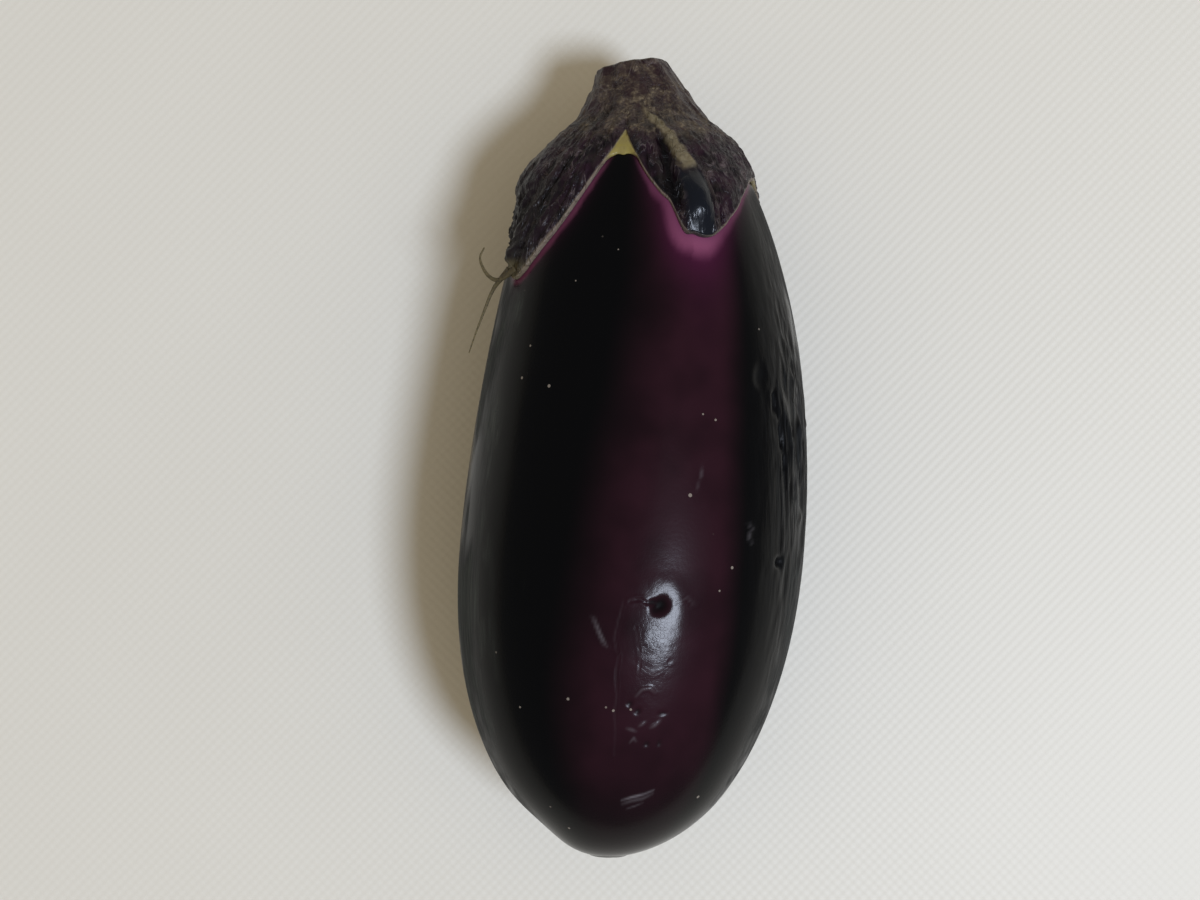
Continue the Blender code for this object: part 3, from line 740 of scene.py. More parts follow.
fruit = {
    "rows": 338,
    "columns": 290,
    # columns and rows stand closer here: centre, spread, how much
    "closeAngles": ((88.0, 14.0, 2.2), (31.0, 14.0, 1.3)),
    "closeStation": (-43.0, 22.0, 1.7),
    # rows stand wider apart under the calyx: from where, over what length, how much
    "hiddenRows": (57.0, 4.0, 0.6),
    "waviness": 0.10,
    # the side of the tip that grew straighter: angle, station, spread in angle and in length, depth
    "blossomCut": (182.0, -71.0, 42.0, 5.0, 2.2),
    # dents: angle, station, half width, half length, depth
    "dents": (
        (80.7, -26.3, 1.10, 1.25, 0.85),
        (83.2, -25.7, 0.9, 0.45, 0.35),
        (82.2, -27.1, 0.9, 0.8, 0.30),
        (88.0, -43.6, 0.5, 0.5, 0.22),
        (85.0, -44.9, 0.5, 0.5, 0.26),
        (76.2, -45.4, 0.6, 0.35, 0.20),
        (80.5, -51.0, 0.5, 0.5, 0.20),
        (75.8, -50.8, 0.4, 0.6, 0.20),
        (35.6, -19.5, 1.1, 1.0, 0.9),
        (46.9, 13.9, 1.25, 1.9, 0.42),
        (40.4, 9.0, 0.5, 1.9, 0.60),
        (37.2, 3.6, 0.6, 2.6, 0.60),
        (35.2, -1.6, 0.5, 1.4, 0.50),
        (126.6, -23.2, 0.8, 1.0, 0.15),
        (262.0, 12.0, 1.6, 2.0, 0.3),
        (205.0, -30.0, 1.2, 1.8, 0.3),
    ),
    # raised lines: route of (angle, station), half width, height
    "ridges": (
        (((86.5, -22.9), (82.5, -22.2), (78.0, -22.6), (75.0, -24.6), (73.6, -27.5), (73.6, -31.5)),
         1.8, 0.13),
        (((86.0, -42.2), (84.2, -41.0), (81.6, -40.8), (79.6, -41.7)), 0.30, 0.24),
        (((84.0, -47.6), (82.0, -47.0)), 0.26, 0.16),
        (((79.8, -47.9), (78.4, -47.6), (76.6, -46.8)), 0.28, 0.20),
        (((86.8, -50.6), (85.6, -49.8), (84.6, -50.4)), 0.22, 0.12),
        (((88.4, -48.0), (85.0, -48.6)), 0.22, 0.10),
        (((101.9, -28.2), (99.6, -31.0), (97.8, -33.2)), 0.22, 0.12),
        (((36.5, 11.0), (33.4, 6.0), (30.6, 1.0), (31.2, -4.0)), 0.9, 0.45),
        (((27.0, 18.0), (24.5, 8.0), (21.5, -2.0), (22.0, -12.0)), 0.7, 0.35),
        (((52.4, -12.2), (50.6, -13.2), (52.0, -14.6), (50.4, -15.8)), 0.25, 0.18),
        (((88.2, -62.3), (84.0, -61.7), (78.6, -61.3), (74.4, -60.4)), 0.30, 0.16),
        (((73.6, -58.4), (69.6, -56.4), (65.4, -54.8)), 0.5, 0.08),
        (((250.0, -20.0), (254.0, -5.0), (252.0, 14.0)), 1.6, 0.2),
        (((318.0, -34.0), (322.0, -18.0), (320.0, 2.0)), 1.4, 0.22),
    ),
    # scored lines: route of (angle, station), half width, depth, how pale the dried skin in it is
    "grooves": (
        (((101.2, -28.4), (99.0, -31.2), (96.6, -33.5)), 0.20, 0.16, 0.5),
        (((92.4, -25.4), (93.4, -28.6), (94.4, -31.6), (93.2, -34.5)), 0.14, 0.07, 0.1),
        (((92.6, -35.0), (93.2, -38.0), (92.6, -42.0), (92.9, -45.0), (92.3, -49.0), (92.4, -53.0)),
         0.16, 0.14, 0.1),
        (((88.6, -61.6), (84.0, -61.0), (78.5, -60.5), (74.4, -59.8)), 0.20, 0.12, 0.9),
        (((86.0, -63.3), (82.0, -62.8), (78.0, -62.2)), 0.16, 0.08, 0.3),
        (((69.9, -1.2), (70.6, -3.6), (71.9, -6.4)), 0.14, 0.05, 0.35),
        (((90.6, -25.6), (87.0, -25.2), (85.2, -25.9)), 0.20, 0.22, 0.0),
        (((88.0, -30.0), (85.5, -36.0), (86.0, -39.0)), 0.14, 0.06, 0.1),
        (((76.0, -26.0), (72.5, -25.0), (70.0, -26.5)), 0.16, 0.10, 0.2),
        (((79.6, -33.0), (77.2, -34.0), (75.8, -36.4)), 0.14, 0.06, 0.2),
        (((84.0, -37.6), (80.6, -38.6), (78.4, -37.8)), 0.14, 0.07, 0.2),
        (((40.8, 10.8), (38.6, 6.5), (36.2, 1.6), (35.4, -2.6)), 0.35, 0.45, 0.0),
        (((31.0, 4.0), (28.5, -2.0), (28.6, -8.0)), 0.35, 0.30, 0.1),
        (((24.0, 14.0), (22.5, 6.0), (23.0, -3.0)), 0.30, 0.25, 0.2),
    ),
    "wrinkles": ((24.0, 15.0), (1.0, 24.0), 0.42),    # centre and spread in angle, in station, height
    "crackle": ((82.0, 9.0), (-34.0, 15.0), 0.035),            # the same
    "wart": (9.7, 5.6, 0.55, 0.45),    # angle, station, half width, height
    "blossomScar": (2.9, 0.35),   # half width and depth of the corky disc at the tip
    "restBlend": 1.1,             # height under which the belly is pressed to the ground
    # edges of the painted wine-red sheen band along the lit top, at these stations, in angle
    "bandY": (-60.0, -43.0, 0.0, 27.0, 50.0),
    "bandLeft": (110.0, 109.0, 98.0, 89.0, 84.0),
    "bandRight": (52.0, 54.0, 56.0, 57.0, 60.0),
    # angle, station, spread in angle and in length
    "rubbedPatch": (153.0, 6.0, 5.0, 5.0),
    # pink left by the calyx: usual width, and how much more below the keel
    "pinkWidth": (1.1, 2.4),
    # pale specks: angle, station, radius
    "specks": (
        (124.0, 12.1, 0.30), (136.9, 13.7, 0.26), (109.3, -42.9, 0.26), (47.1, -62.0, 0.30),
        (73.9, -7.2, 0.34), (57.6, -20.0, 0.28), (61.5, -24.0, 0.20), (93.4, -44.8, 0.24),
        (87.4, -44.6, 0.22), (118.0, 31.0, 0.15), (122.0, -68.0, 0.26), (135.0, 19.5, 0.20),
        (66.0, 6.0, 0.22), (70.5, 7.0, 0.18), (101.5, 36.5, 0.13), (129.0, -45.0, 0.20),
        (215.0, -12.0, 0.28), (301.0, 18.0, 0.30), (260.0, -44.0, 0.28),
    ),
}


def marginRoute():
    # the line where the calyx's edge meets the skin
    angle = np.arange(0.0, 360.0, 0.5)
    station = marginY(angle) - rimLength(angle)
    return angle, ringPoint(station, sectionRadius(station), angle)


def distanceToMargin(points):
    # straight distance to the margin, with a sign: positive on the bare skin; and the nearest angle
    angles, line = marginRoute()
    flat = points.reshape(-1, 3)
    distance = np.full(len(flat), 99.0)
    nearest = np.zeros(len(flat))
    close = np.flatnonzero(flat[:, 1] > -10.0)
    for part in np.array_split(close, 24):
        gaps = np.sum((flat[part, None, :] - line[None]) ** 2, axis=-1)
        index = gaps.argmin(axis=1)
        distance[part] = np.sqrt(gaps[np.arange(len(part)), index])
        nearest[part] = angles[index]
    return distance.reshape(points.shape[:-1]), nearest.reshape(points.shape[:-1])


def unevenSteps(position, length, weight, count, closed):
    # count positions whose spacing shrinks where the weight is high
    grown = np.concatenate([[0.0], np.cumsum(length * 0.5 * (weight[1:] + weight[:-1]))])
    wanted = np.linspace(0.0, grown[-1], count, endpoint=not closed)
    return np.interp(wanted, grown, position)


def makeFruit(material):
    # surface of revolution along a bent axis: superellipse profile, with lifts added along the radius
    down = np.linspace(0.0, 1.0, 6001)
    turned = np.cos(down * math.pi)
    halfLength = np.where(turned < 0.0, body["blossomLength"], body["shoulderLength"])
    profileY = body["bellyY"] + halfLength * turned
    profileRadius = sectionRadius(profileY)
    steps = np.hypot(np.diff(profileY), np.diff(profileRadius))
    centre, spread, more = fruit["closeStation"]
    hiddenFrom, hiddenOver, less = fruit["hiddenRows"]
    weight = 1.0 + more * bell(profileY - centre, spread)
    weight -= less * smoothstep((profileY - hiddenFrom) / hiddenOver)
    station = unevenSteps(profileY, steps, weight, fruit["rows"], False)
    dense = np.linspace(-100.0, 260.0, 1441)
    weight = np.ones_like(dense)
    for centre, spread, more in fruit["closeAngles"]:
        weight += more * bell(angleFrom(dense, centre), spread)
    around = unevenSteps(dense, np.diff(dense), weight, fruit["columns"], True)

    y, angle = np.meshgrid(station, around, indexing="ij")
    radius = sectionRadius(y)
    smooth = ringPoint(y, radius, angle)
    margin, marginAngle = distanceToMargin(smooth)
    underCalyx = y > marginY(angle) - rimLength(angle)
    bare = smoothstep(margin / 3.0) * ~underCalyx

    # long soft swellings, so that reflections are not ruler-straight; then dents, ridges and scored
    # lines, with their masks
    lift = fruit["waviness"] * roughNoise(smooth, (14.0, 34.0, 14.0), 3, 2)
    pits = np.zeros_like(y)
    uneven = roughNoise(smooth, 1.8, 5, 2)
    ragged = roughNoise(smooth, 1.6, 7, 1)
    for centreAngle, centreY, wide, long, depth in fruit["dents"]:
        across = np.radians(angleFrom(angle, centreAngle)) * radius / wide + 0.22 * uneven
        lengthways = (y - centreY) / long + 0.25 * ragged
        spot = np.exp(-(across ** 2 + lengthways ** 2) ** 1.25)
        lift -= depth * spot
        # dents are painted darker the deeper they are: painted shade in the hollows
        pits = np.maximum(pits, spot * min(1.0, depth / 0.45))
    ridged = np.zeros_like(y)
    for route, wide, height in fruit["ridges"]:
        gap, share = strokeDistance(angle, y, route)
        ridge = bell(gap, wide) * np.sin(np.clip(share, 0.06, 0.94) * math.pi) ** 0.5
        lift += height * ridge
        ridged = np.maximum(ridged, ridge * (wide < 0.5))
    scored = np.zeros_like(y)
    for number, (route, wide, depth, pale) in enumerate(fruit["grooves"]):
        gap, share = strokeDistance(angle, y, route)
        broken = 0.35 + 1.7 * latticeNoise(smooth, (0.9, 1.2, 0.9), 40 + number)
        line = bell(gap, wide) * np.clip(broken, 0.0, 1.0)
        lift -= depth * line
        lift += 0.35 * depth * bell(gap - 2.2 * wide, wide)
        patchy = np.clip(0.75 + 0.6 * latticeNoise(smooth, (2.0, 2.4, 2.0), 60 + number), 0.0, 1.0)
        tapered = np.sin(share.clip(0.05, 0.95) * math.pi) ** 0.5
        scored = np.maximum(scored, pale * bell(gap, 1.1 * wide) * patchy * tapered)

    # lengthwise wrinkles where the skin has begun to dry on one flank
    (wrinkleAngle, wrinkleSpread), (wrinkleY, wrinkleLong), height = fruit["wrinkles"]
    wrinkled = bell(angleFrom(angle, wrinkleAngle), wrinkleSpread) * bell(y - wrinkleY, wrinkleLong)
    folds = 1.0 - 2.6 * np.abs(roughNoise(smooth, (1.7, 8.0, 1.7), 11, 2))
    lift += height * wrinkled * bare * np.clip(folds, -0.6, 1.0)
    # fine crackle round the dent, where the cuticle has crept
    (crackAngle, crackSpread), (crackY, crackLong), height = fruit["crackle"]
    crackled = bell(angleFrom(angle, crackAngle), crackSpread) * bell(y - crackY, crackLong)
    lift += height * crackled * roughNoise(smooth, (1.5, 1.2, 1.5), 17, 2)
    wartAngle, wartY, wartWide, wartHeight = fruit["wart"]
    across = np.radians(angleFrom(angle, wartAngle)) * radius
    lift += wartHeight * bell(np.hypot(across, y - wartY), wartWide)
    # the flank of the tip that grew straighter
    cutAngle, cutY, cutWide, cutLong, cutDepth = fruit["blossomCut"]
    flattened = bell(angleFrom(angle, cutAngle), cutWide) * bell(y - cutY, cutLong)
    lift -= cutDepth * flattened * (radius / 20.0).clip(0.0, 1.0)

    # the calyx grips the skin: nothing stands out under it
    lift = lift * np.where(underCalyx, 0.0, smoothstep(margin / 1.5))
    points = ringPoint(y, np.maximum(radius + lift, 0.0), angle)
    # a sunken corky disc at the tip, with a raised rim and a small pit in its middle
    scarWide, scarDepth = fruit["blossomScar"]
    tipGap = np.hypot(points[..., 0] - points[-1, 0, 0], points[..., 2] - points[-1, 0, 2])
    atTip = (y < -60.0) * 1.0
    disc = atTip * smoothstep((scarWide - tipGap) / 0.9 + 0.5)
    corky = 1.0 + 0.6 * roughNoise(points, 0.8, 23, 2)
    points[..., 1] += scarDepth * disc * corky
    points[..., 1] -= 0.25 * atTip * bell(tipGap - scarWide - 0.5, 0.5)
    points[..., 1] += 0.7 * atTip * bell(tipGap, 0.55)
    # soft flat spot where it rests: heights under the blend are pressed up to the ground
    blend = fruit["restBlend"]
    low = points[..., 2]
    points[..., 2] = np.where(low < blend, blend * (0.5 * (low / blend + 1.0).clip(0.0, 2.0)) ** 2, low)

    # skin that the calyx kept from the light: pink beside it, and magenta that fades below the keel
    usual, more = fruit["pinkWidth"]
    wide = usual * (1.0 - nearNotch(marginAngle, 12.0)) + more * bell(angleFrom(marginAngle, 69.0), 7.5)
    edge = wide - margin + 0.35 * roughNoise(smooth, (1.5, 4.0, 1.5), 29, 2)
    keelSide = bell(angleFrom(angle, 69.0), 17.0)
    underKeel = bell(angleFrom(marginAngle, 68.0), 8.5)
    pink = smoothstep(edge / (0.9 + 2.6 * keelSide) + 0.5) * smoothstep(wide / 0.8)
    pink *= 0.45 + 0.45 * underKeel
    fade = np.exp(-np.maximum(margin - wide, 0.0) / (1.0 + 4.5 * keelSide)) * (0.30 + 0.70 * keelSide)
    fade *= 1.0 - nearNotch(angle, 13.0)
    # painted sheen: a wine-red band painted along the lit top, sharper on the right, and a fainter
    # wine-red tone underneath
    leftEdge = np.interp(y, fruit["bandY"], fruit["bandLeft"])
    rightEdge = np.interp(y, fruit["bandY"], fruit["bandRight"])
    drift = 5.0 * roughNoise(smooth, (9.0, 45.0, 9.0), 31, 2)
    band = smoothstep((angle + drift - rightEdge) / 13.0 + 0.5)
    band *= smoothstep((leftEdge - angle - drift) / 28.0 + 0.5)
    band *= 0.15 + 0.85 * smoothstep((y + 72.0) / 24.0)
    back = 0.45 * bell(angleFrom(angle, 250.0 + drift), 26.0) * window(y, -50.0, 34.0, 30.0)
    # the left flank, and the right one near the tip, have a dull streaked bloom, painted grey-green
    # partly as a painted reflection of the pale board at the rims; one patch is rubbed paler, and both
    # sides are dusty
    streaky = roughNoise(smooth, (1.6, 12.0, 1.6), 37, 3)
    cloudy = roughNoise(smooth, (6.0, 13.0, 6.0), 39, 2)
    bloomAndRimSheen = window(angle, 142.0, 208.0, 14.0) * window(y, -58.0, 30.0, 26.0)
    bloomAndRimSheen = np.maximum(bloomAndRimSheen, 0.8 * bell(angleFrom(angle, -2.0), 24.0) * window(y, -70.0, -12.0, 24.0))
    bloomAndRimSheen *= np.clip(2.0 * cloudy + 2.2 * streaky - 0.1, 0.0, 1.0)
    patchAngle, patchY, patchWide, patchLong = fruit["rubbedPatch"]
    rubbed = bell(angleFrom(angle, patchAngle + 4.0 * streaky), patchWide) * bell(y - patchY, patchLong)
    outwards = np.abs(np.cos(np.radians(angle)))
    sideways = smoothstep((outwards - 0.80) / 0.16) * smoothstep((y + 74.0) / 10.0)
    sideways *= np.clip(0.75 + 1.2 * cloudy + 0.9 * streaky, 0.0, 1.0)
    masks = {
        "pinkBand": pink,
        "magentaFade": fade,
        "wineTintAndSheenBand": np.clip(band + back, 0.0, 1.0),
        "crackledSkin": np.clip(crackled, 0.0, 1.0),
        "dentShade": np.clip(pits, 0.0, 1.0),
        "scoredLine": np.clip(np.maximum(scored, 0.3 * ridged), 0.0, 1.0),
        "driedFlank": np.clip(wrinkled * bare, 0.0, 1.0),
        "bloomAndRimReflection": np.clip(bloomAndRimSheen + 0.9 * rubbed, 0.0, 1.0) * bare,
        "dustySide": sideways * bare,
        "blossomScar": np.clip(disc + 0.5 * atTip * bell(tipGap - scarWide, 0.7), 0.0, 1.0),
    }
    return meshFromRows("eggplant_fruit", points, material, masks)


def skinMaterial():
    # Eggplant skin: a waxy cuticle over nearly black purple cells. It gives a soft clear highlight and
    # black sides; a wine-red band is painted along the top where the light falls as a painted sheen,
    # the dents are painted darker as shade, and the flank rims carry grey-green bloom that is partly a
    # painted reflection.
    material, shader, place, mask = newMaterial("glossyEggplantSkin", (
        "pinkBand", "magentaFade", "wineTintAndSheenBand", "crackledSkin", "dentShade", "scoredLine",
        "driedFlank", "bloomAndRimReflection", "dustySide", "blossomScar"), IOR=1.225)
    # streaks run the length of the fruit: 0.5 mm across, 15 mm long
    grain = addNode(material, "Mapping", {"Vector": place, "Scale": (1.0, 0.035, 1.0)})
    streaks = addNode(material, "TexNoise", {"Vector": grain, "Scale": 1900.0, "Detail": 3.0})
    cloudy = addNode(material, "TexNoise", {"Vector": place, "Scale": 90.0, "Detail": 2.0})
    fine = addNode(material, "TexNoise", {"Vector": place, "Scale": 1500.0, "Detail": 2.0})

    # pale lenticels and dust specks 0.4 mm wide: about a quarter of the cells of a 5 mm pattern hold
    # one, and the larger specks have their own places
    cells = addNode(material, "TexVoronoi", {"Vector": place, "Scale": 210.0, "Randomness": 1.0})
    chosen = addNode(material, "SeparateColor", {0: cells.node.outputs["Color"]})
    dot = addNode(material, "Math", {0: cells, 1: 0.042}, operation="LESS_THAN")
    holds = addNode(material, "Math", {0: chosen, 1: 0.72}, operation="GREATER_THAN")
    dot = addNode(material, "Math", {0: dot, 1: holds}, operation="MULTIPLY")
    dot = addNode(material, "Math", {0: dot, 1: chosen.node.outputs[1]}, operation="MULTIPLY")
    for speckAngle, speckY, speckRadius in fruit["specks"]:
        centre = ringPoint(speckY, sectionRadius(np.array(speckY)), speckAngle) * millimetre
        ends = {0: place, 1: tuple(centre)}
        gap = addNode(material, "VectorMath", ends, pick="Value", operation="DISTANCE")
        speck = addNode(material, "Math", {0: gap, 1: speckRadius * millimetre}, operation="LESS_THAN")
        dot = addNode(material, "Math", {0: dot, 1: speck}, operation="MAXIMUM")

    streaked = addNode(material, "MapRange", {"Value": streaks, 1: 0.45, 2: 0.70})
    dried = addNode(material, "Math", {0: mask["driedFlank"], 1: streaked}, operation="MULTIPLY")
    driedTint = addNode(material, "Math", {0: dried, 1: 0.5}, operation="MULTIPLY")
    # grey-green bloom on the flanks, partly a painted reflection of the board at the rims
    bloomShare = addNode(material, "Math", {0: streaked, 1: 0.40, 2: 0.22}, operation="MULTIPLY_ADD")
    bloomAndRimSheen = addNode(material, "Math", {0: mask["bloomAndRimReflection"], 1: bloomShare}, operation="MULTIPLY")
    # painted sheen: wine-red over the lit top band, varied by cloudy noise
    warmth = addNode(material, "MapRange", {"Value": cloudy, 1: 0.30, 2: 0.60, 3: 0.55})
    warm = addNode(material, "Math", {0: mask["wineTintAndSheenBand"], 1: warmth}, operation="MULTIPLY")
    scored = addNode(material, "Math", {0: mask["scoredLine"], 1: 0.7}, operation="MULTIPLY")
    speckle = addNode(material, "Math", {0: dot, 1: 0.6}, operation="MULTIPLY")
    colour = linear("#050506")
    for cover, coat in (
        # painted sheen along the lit top
        (warm, "#28121b"),
        (mask["magentaFade"], "#421532"),
        (mask["pinkBand"], "#834767"),
        (driedTint, "#33373a"),
        (bloomAndRimSheen, "#444c49"),
        (scored, "#77737a"),
        # painted shade in the dents
        (mask["dentShade"], "#040405"),
        (mask["blossomScar"], "#5a4a35"),
        (speckle, "#9c948b"),
    ):
        layer = {0: cover, 6: colour, 7: linear(coat)}
        colour = addNode(material, "Mix", layer, pick=2, data_type="RGBA")
    # waxy and clear on top, duller where dust, drying or damage has broken the wax
    rough = addNode(material, "MapRange", {"Value": cloudy, 1: 0.2, 2: 0.8, 3: 0.16, 4: 0.23})
    for name, amount in (("driedFlank", 0.04), ("bloomAndRimReflection", 0.10), ("dustySide", 0.36),
                         ("dentShade", 0.45), ("blossomScar", 0.35), ("pinkBand", 0.08)):
        duller = {0: mask[name], 1: amount, 2: rough}
        rough = addNode(material, "Math", duller, operation="MULTIPLY_ADD", use_clamp=True)
    # crept cuticle: cracks round plates of 0.7 mm
    cracks = {"Vector": place, "Scale": 1400.0}
    plates = addNode(material, "TexVoronoi", cracks, feature="DISTANCE_TO_EDGE")
    plates = addNode(material, "Math", {0: plates, 1: 0.12}, operation="MINIMUM")
    crackle = addNode(material, "Math", {0: plates, 1: mask["crackledSkin"]}, operation="MULTIPLY")
    # creases 1.6 mm apart and 10 mm long in the dried flanks: sharp valleys where the noise crosses
    # its middle
    drawn = addNode(material, "Mapping", {"Vector": place, "Scale": (1.0, 0.16, 1.0)})
    creased = addNode(material, "TexNoise", {"Vector": drawn, "Scale": 620.0, "Detail": 2.0})
    creased = addNode(material, "Math", {0: creased, 1: 0.5}, operation="SUBTRACT")
    creased = addNode(material, "Math", {0: creased}, operation="ABSOLUTE")
    creased = addNode(material, "Math", {0: creased, 1: 0.16}, operation="MINIMUM")
    dryShare = {0: mask["dustySide"], 1: 0.45, 2: mask["driedFlank"]}
    flanks = addNode(material, "Math", dryShare, operation="MULTIPLY_ADD")
    creased = addNode(material, "Math", {0: creased, 1: flanks}, operation="MULTIPLY")
    height = addNode(material, "Math", {0: fine, 1: 0.25}, operation="MULTIPLY")
    for part, amount in ((crackle, 1.0), (creased, -12.0), (dried, 0.9), (dot, 0.8)):
        height = addNode(material, "Math", {0: part, 1: amount, 2: height}, operation="MULTIPLY_ADD")
    bump = addNode(material, "Bump", {"Height": height, "Strength": 0.5, "Distance": 0.00008})
    return joinFinish(material, shader, colour, rough, bump)


threads = {
    # points along each fibre, with its radius at the root and at the tip
    "curled": (
        ((-21.6, 34.2, 39.9), (-23.4, 33.0, 38.4), (-25.2, 32.3, 37.1), (-26.8, 33.1, 36.7),
         (-28.0, 34.9, 36.6), (-28.4, 36.6, 36.5), (-27.7, 38.3, 36.3)),
        0.72, 0.14,
    ),
    "straight": (
        ((-22.8, 34.0, 38.6), (-24.4, 32.6, 36.9), (-25.7, 31.2, 35.7), (-26.8, 29.2, 35.0),
         (-28.0, 26.2, 34.2), (-29.4, 22.6, 33.6), (-30.7, 18.9, 33.2)),
        0.72, 0.10,
    ),
    "rings": 60,
    "sides": 12,
}


def makeThread(name, key, material):
    # a tapering tube carried along a smooth curve through the points (Catmull-Rom)
    route, rootRadius, tipRadius = threads[key]
    ends = np.array([2 * np.array(route[0]) - route[1], *route, 2 * np.array(route[-1]) - route[-2]])
    along = np.linspace(0.0, len(route) - 1.0001, threads["rings"])
    index = along.astype(int)
    t = (along - index)[:, None]
    a, b, c, d = (ends[index + k] for k in range(4))
    bend, twist = 2 * a - 5 * b + 4 * c - d, 3 * b - a - 3 * c + d
    path = 0.5 * (2 * b + (c - a) * t + bend * t ** 2 + twist * t ** 3)
    ahead = np.gradient(path, axis=0)
    ahead /= np.linalg.norm(ahead, axis=1)[:, None]
    sideways = np.cross(ahead, (0.0, 0.0, 1.0))
    sideways /= np.linalg.norm(sideways, axis=1)[:, None]
    upwards = np.cross(sideways, ahead)
    share = along / along[-1]
    radius = rootRadius + (tipRadius - rootRadius) * share ** 0.55
    turn = np.arange(threads["sides"]) * 2.0 * math.pi / threads["sides"]
    # flattened, and lobed like a twisted strand
    radius = radius[:, None] * (1.0 + 0.18 * np.cos(3.0 * turn + 6.0 * share[:, None]))
    across = np.cos(turn)[:, None] * sideways[:, None]
    over = 0.7 * np.sin(turn)[:, None] * upwards[:, None]
    ring = path[:, None] + radius[..., None] * (across + over)
    first = np.broadcast_to(path[0], (1,) + ring.shape[1:])
    last = np.broadcast_to(path[-1] + ahead[-1] * tipRadius, (1,) + ring.shape[1:])
    points = np.concatenate([first, ring, last])
    shares = np.concatenate([[0.0], share, [1.0]])[:, None] * np.ones(threads["sides"])
    return meshFromRows(name, points, material, {"alongFibre": shares})


def fibreMaterial():
    # Dried plant fibre: dull straw brown, darker towards its root, with fine dark spots.
    material, shader, place, mask = newMaterial("driedStrawFibre", ("alongFibre",), IOR=1.45)
    spots = addNode(material, "TexNoise", {"Vector": place, "Scale": 2200.0, "Detail": 3.0})
    spotted = addNode(material, "MapRange", {"Value": spots, 1: 0.45, 2: 0.7})
    colour = linear("#4a4129")
    for cover, coat in ((mask["alongFibre"], "#645a3c"), (spotted, "#3a3222")):
        layer = {0: cover, 6: colour, 7: linear(coat)}
        colour = addNode(material, "Mix", layer, pick=2, data_type="RGBA")
    rough = addNode(material, "Math", {0: spots, 1: 0.2, 2: 0.6}, operation="MULTIPLY_ADD")
    bump = addNode(material, "Bump", {"Height": spots, "Strength": 0.6, "Distance": 0.0001})
    return joinFinish(material, shader, colour, rough, bump)


setting = {
    # lengths here are metres
    "floorSize": 8.0,
    "embossPitch": 1.51,          # millimetres between the rows of the board's diamond grain
    "camera": (-0.0061, 0.0007, 0.390),
    "lens": 57.0,                 # millimetres
    "lookAt": (0.0, 0.0, 0.03),
    "keyTilt": (22.0, -13.5),     # from overhead towards +X and towards +Y
    "keyDistance": 1.9,
    "keySize": (0.45, 0.45),
    "keyPower": 27.0,
    "fillTilt": (22.0, -12.0),
    "fillDistance": 1.1,
    "fillSize": (0.85, 0.75),
    "fillPower": 0.6,
    "roomStrength": 0.43,
    "mirrorStrength": 0.22,
    "shownStrength": 0.75,
}


def boardMaterial():
    # Moulded polyethylene board: off-white, satin, with a fine diamond emboss.
    material, shader, place, _ = newMaterial("embossedBoardPlastic", (), IOR=1.5)
    axes = addNode(material, "SeparateXYZ", {0: place})
    wave = 2.0 * math.pi / (setting["embossPitch"] * math.sqrt(2.0) * millimetre)
    emboss = 1.0
    for axis in (0, 1):
        turn = addNode(material, "Math", {0: axes.node.outputs[axis], 1: wave}, operation="MULTIPLY")
        rise = addNode(material, "Math", {0: turn}, operation="SINE")
        emboss = addNode(material, "Math", {0: rise, 1: emboss}, operation="MULTIPLY")
    stains = addNode(material, "TexNoise", {"Vector": place, "Scale": 9.0, "Detail": 3.0})
    clean, stained = linear("#d7d5cd"), linear("#dddcd5")
    colour = addNode(material, "Mix", {0: stains, 6: clean, 7: stained}, pick=2, data_type="RGBA")
    rough = addNode(material, "Math", {0: stains, 1: 0.1, 2: 0.45}, operation="MULTIPLY_ADD")
    bump = addNode(material, "Bump", {"Height": emboss, "Strength": 0.45, "Distance": 0.00005})
    return joinFinish(material, shader, colour, rough, bump)


def makeFloor():
    # one square at the ground, under the fruit
    half = setting["floorSize"] / 2.0
    corners = [(-half, -half, 0.0), (half, -half, 0.0), (half, half, 0.0), (-half, half, 0.0)]
    mesh = bpy.data.meshes.new("floor")
    mesh.from_pydata(corners, [], [(0, 1, 2, 3)])
    mesh.materials.append(boardMaterial())
    floor = bpy.data.objects.new("floor", mesh)
    bpy.context.scene.collection.objects.link(floor)


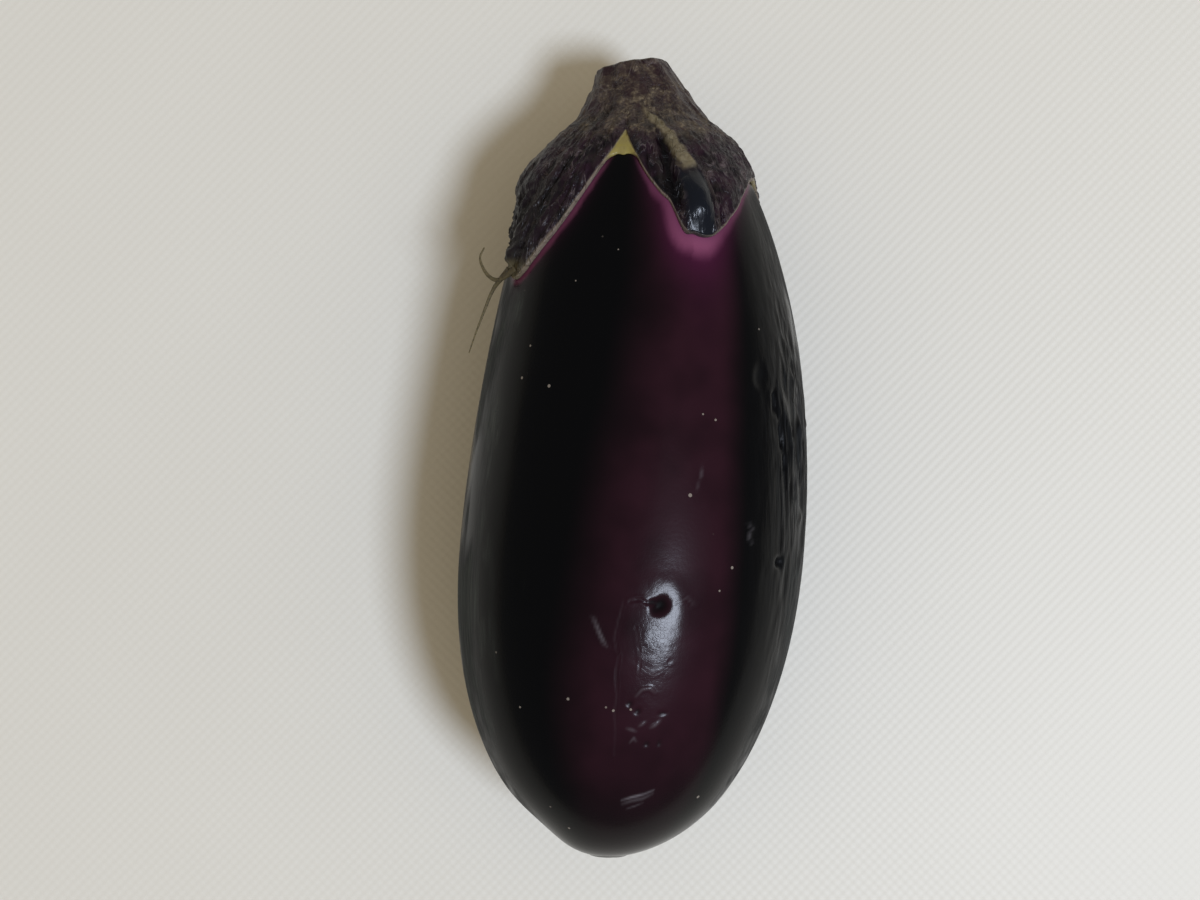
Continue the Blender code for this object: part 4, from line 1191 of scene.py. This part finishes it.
def makeLight(name, part, shape, colour):
    # an area light that looks at the fruit's middle from a tilt off overhead
    light = bpy.data.lights.new(name, "AREA")
    light.shape = shape
    light.size, light.size_y = setting[part + "Size"]
    light.energy = setting[part + "Power"]
    light.color = linear(colour)[:3]
    lamp = bpy.data.objects.new(name, light)
    sideways, forwards = (math.tan(math.radians(tilt)) for tilt in setting[part + "Tilt"])
    away = np.array([sideways, forwards, 1.0])
    away /= np.linalg.norm(away)
    lamp.location = away * setting[part + "Distance"] + np.array(setting["lookAt"])
    lamp.rotation_mode = "QUATERNION"
    lamp.rotation_quaternion = Vector(-away).to_track_quat("-Z", "Y")
    bpy.context.scene.collection.objects.link(lamp)


def makeRoom():
    # dim surroundings: warm on matt surfaces, neutral in reflections, pale where looked at directly
    world = bpy.data.worlds.new("room")
    world.use_nodes = True
    tree = world.node_tree
    shown = tree.nodes["Background"]
    shown.inputs["Color"].default_value = linear("#d9d8d2")
    shown.inputs["Strength"].default_value = setting["shownStrength"]
    warm, mirrored = (
        addNode(world, "Background", {"Color": linear(colour), "Strength": setting[strength]})
        for colour, strength in (("#ffeccb", "roomStrength"), ("#f4f6fa", "mirrorStrength")))
    seen = addNode(world, "LightPath", pick="Is Camera Ray")
    lit = addNode(world, "MixShader", {0: seen.node.outputs["Is Glossy Ray"], 1: warm, 2: mirrored})
    mixed = addNode(world, "MixShader", {0: seen, 1: lit, 2: shown.outputs[0]})
    tree.links.new(mixed, tree.nodes["World Output"].inputs["Surface"])
    bpy.context.scene.world = world


def makeCamera():
    # looks straight down
    camera = bpy.data.cameras.new("camera")
    camera.lens = setting["lens"]
    camera.sensor_width = 36.0
    camera.clip_start = 0.01
    viewer = bpy.data.objects.new("camera", camera)
    viewer.location = setting["camera"]
    bpy.context.scene.collection.objects.link(viewer)
    bpy.context.scene.camera = viewer


makeCamera()
makeFloor()
makeLight("windowLight", "key", "ELLIPSE", "#e2edff")
makeLight("softLight", "fill", "RECTANGLE", "#eef2ff")
makeRoom()
bpy.context.scene.view_settings.view_transform = "Standard"
print("stage: board, light and camera")

fibre = fibreMaterial()
built = (
    (makeFruit(skinMaterial()), "fruit", "fruit_skin"),
    (makeCalyx(calyxMaterial()), "calyx", "calyx_leather"),
    (makeStem(stemMaterial()), "stem", "stem_bark"),
    (makeThread("curled_dry_thread", "curled", fibre), "dry_thread_curled", "dry_fibre"),
    (makeThread("straight_dry_thread", "straight", fibre), "dry_thread_straight", "dry_fibre"),
)
for piece, node, slotName in built:
    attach(piece, "root")
    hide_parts(node)
print("stage: pieces placed")
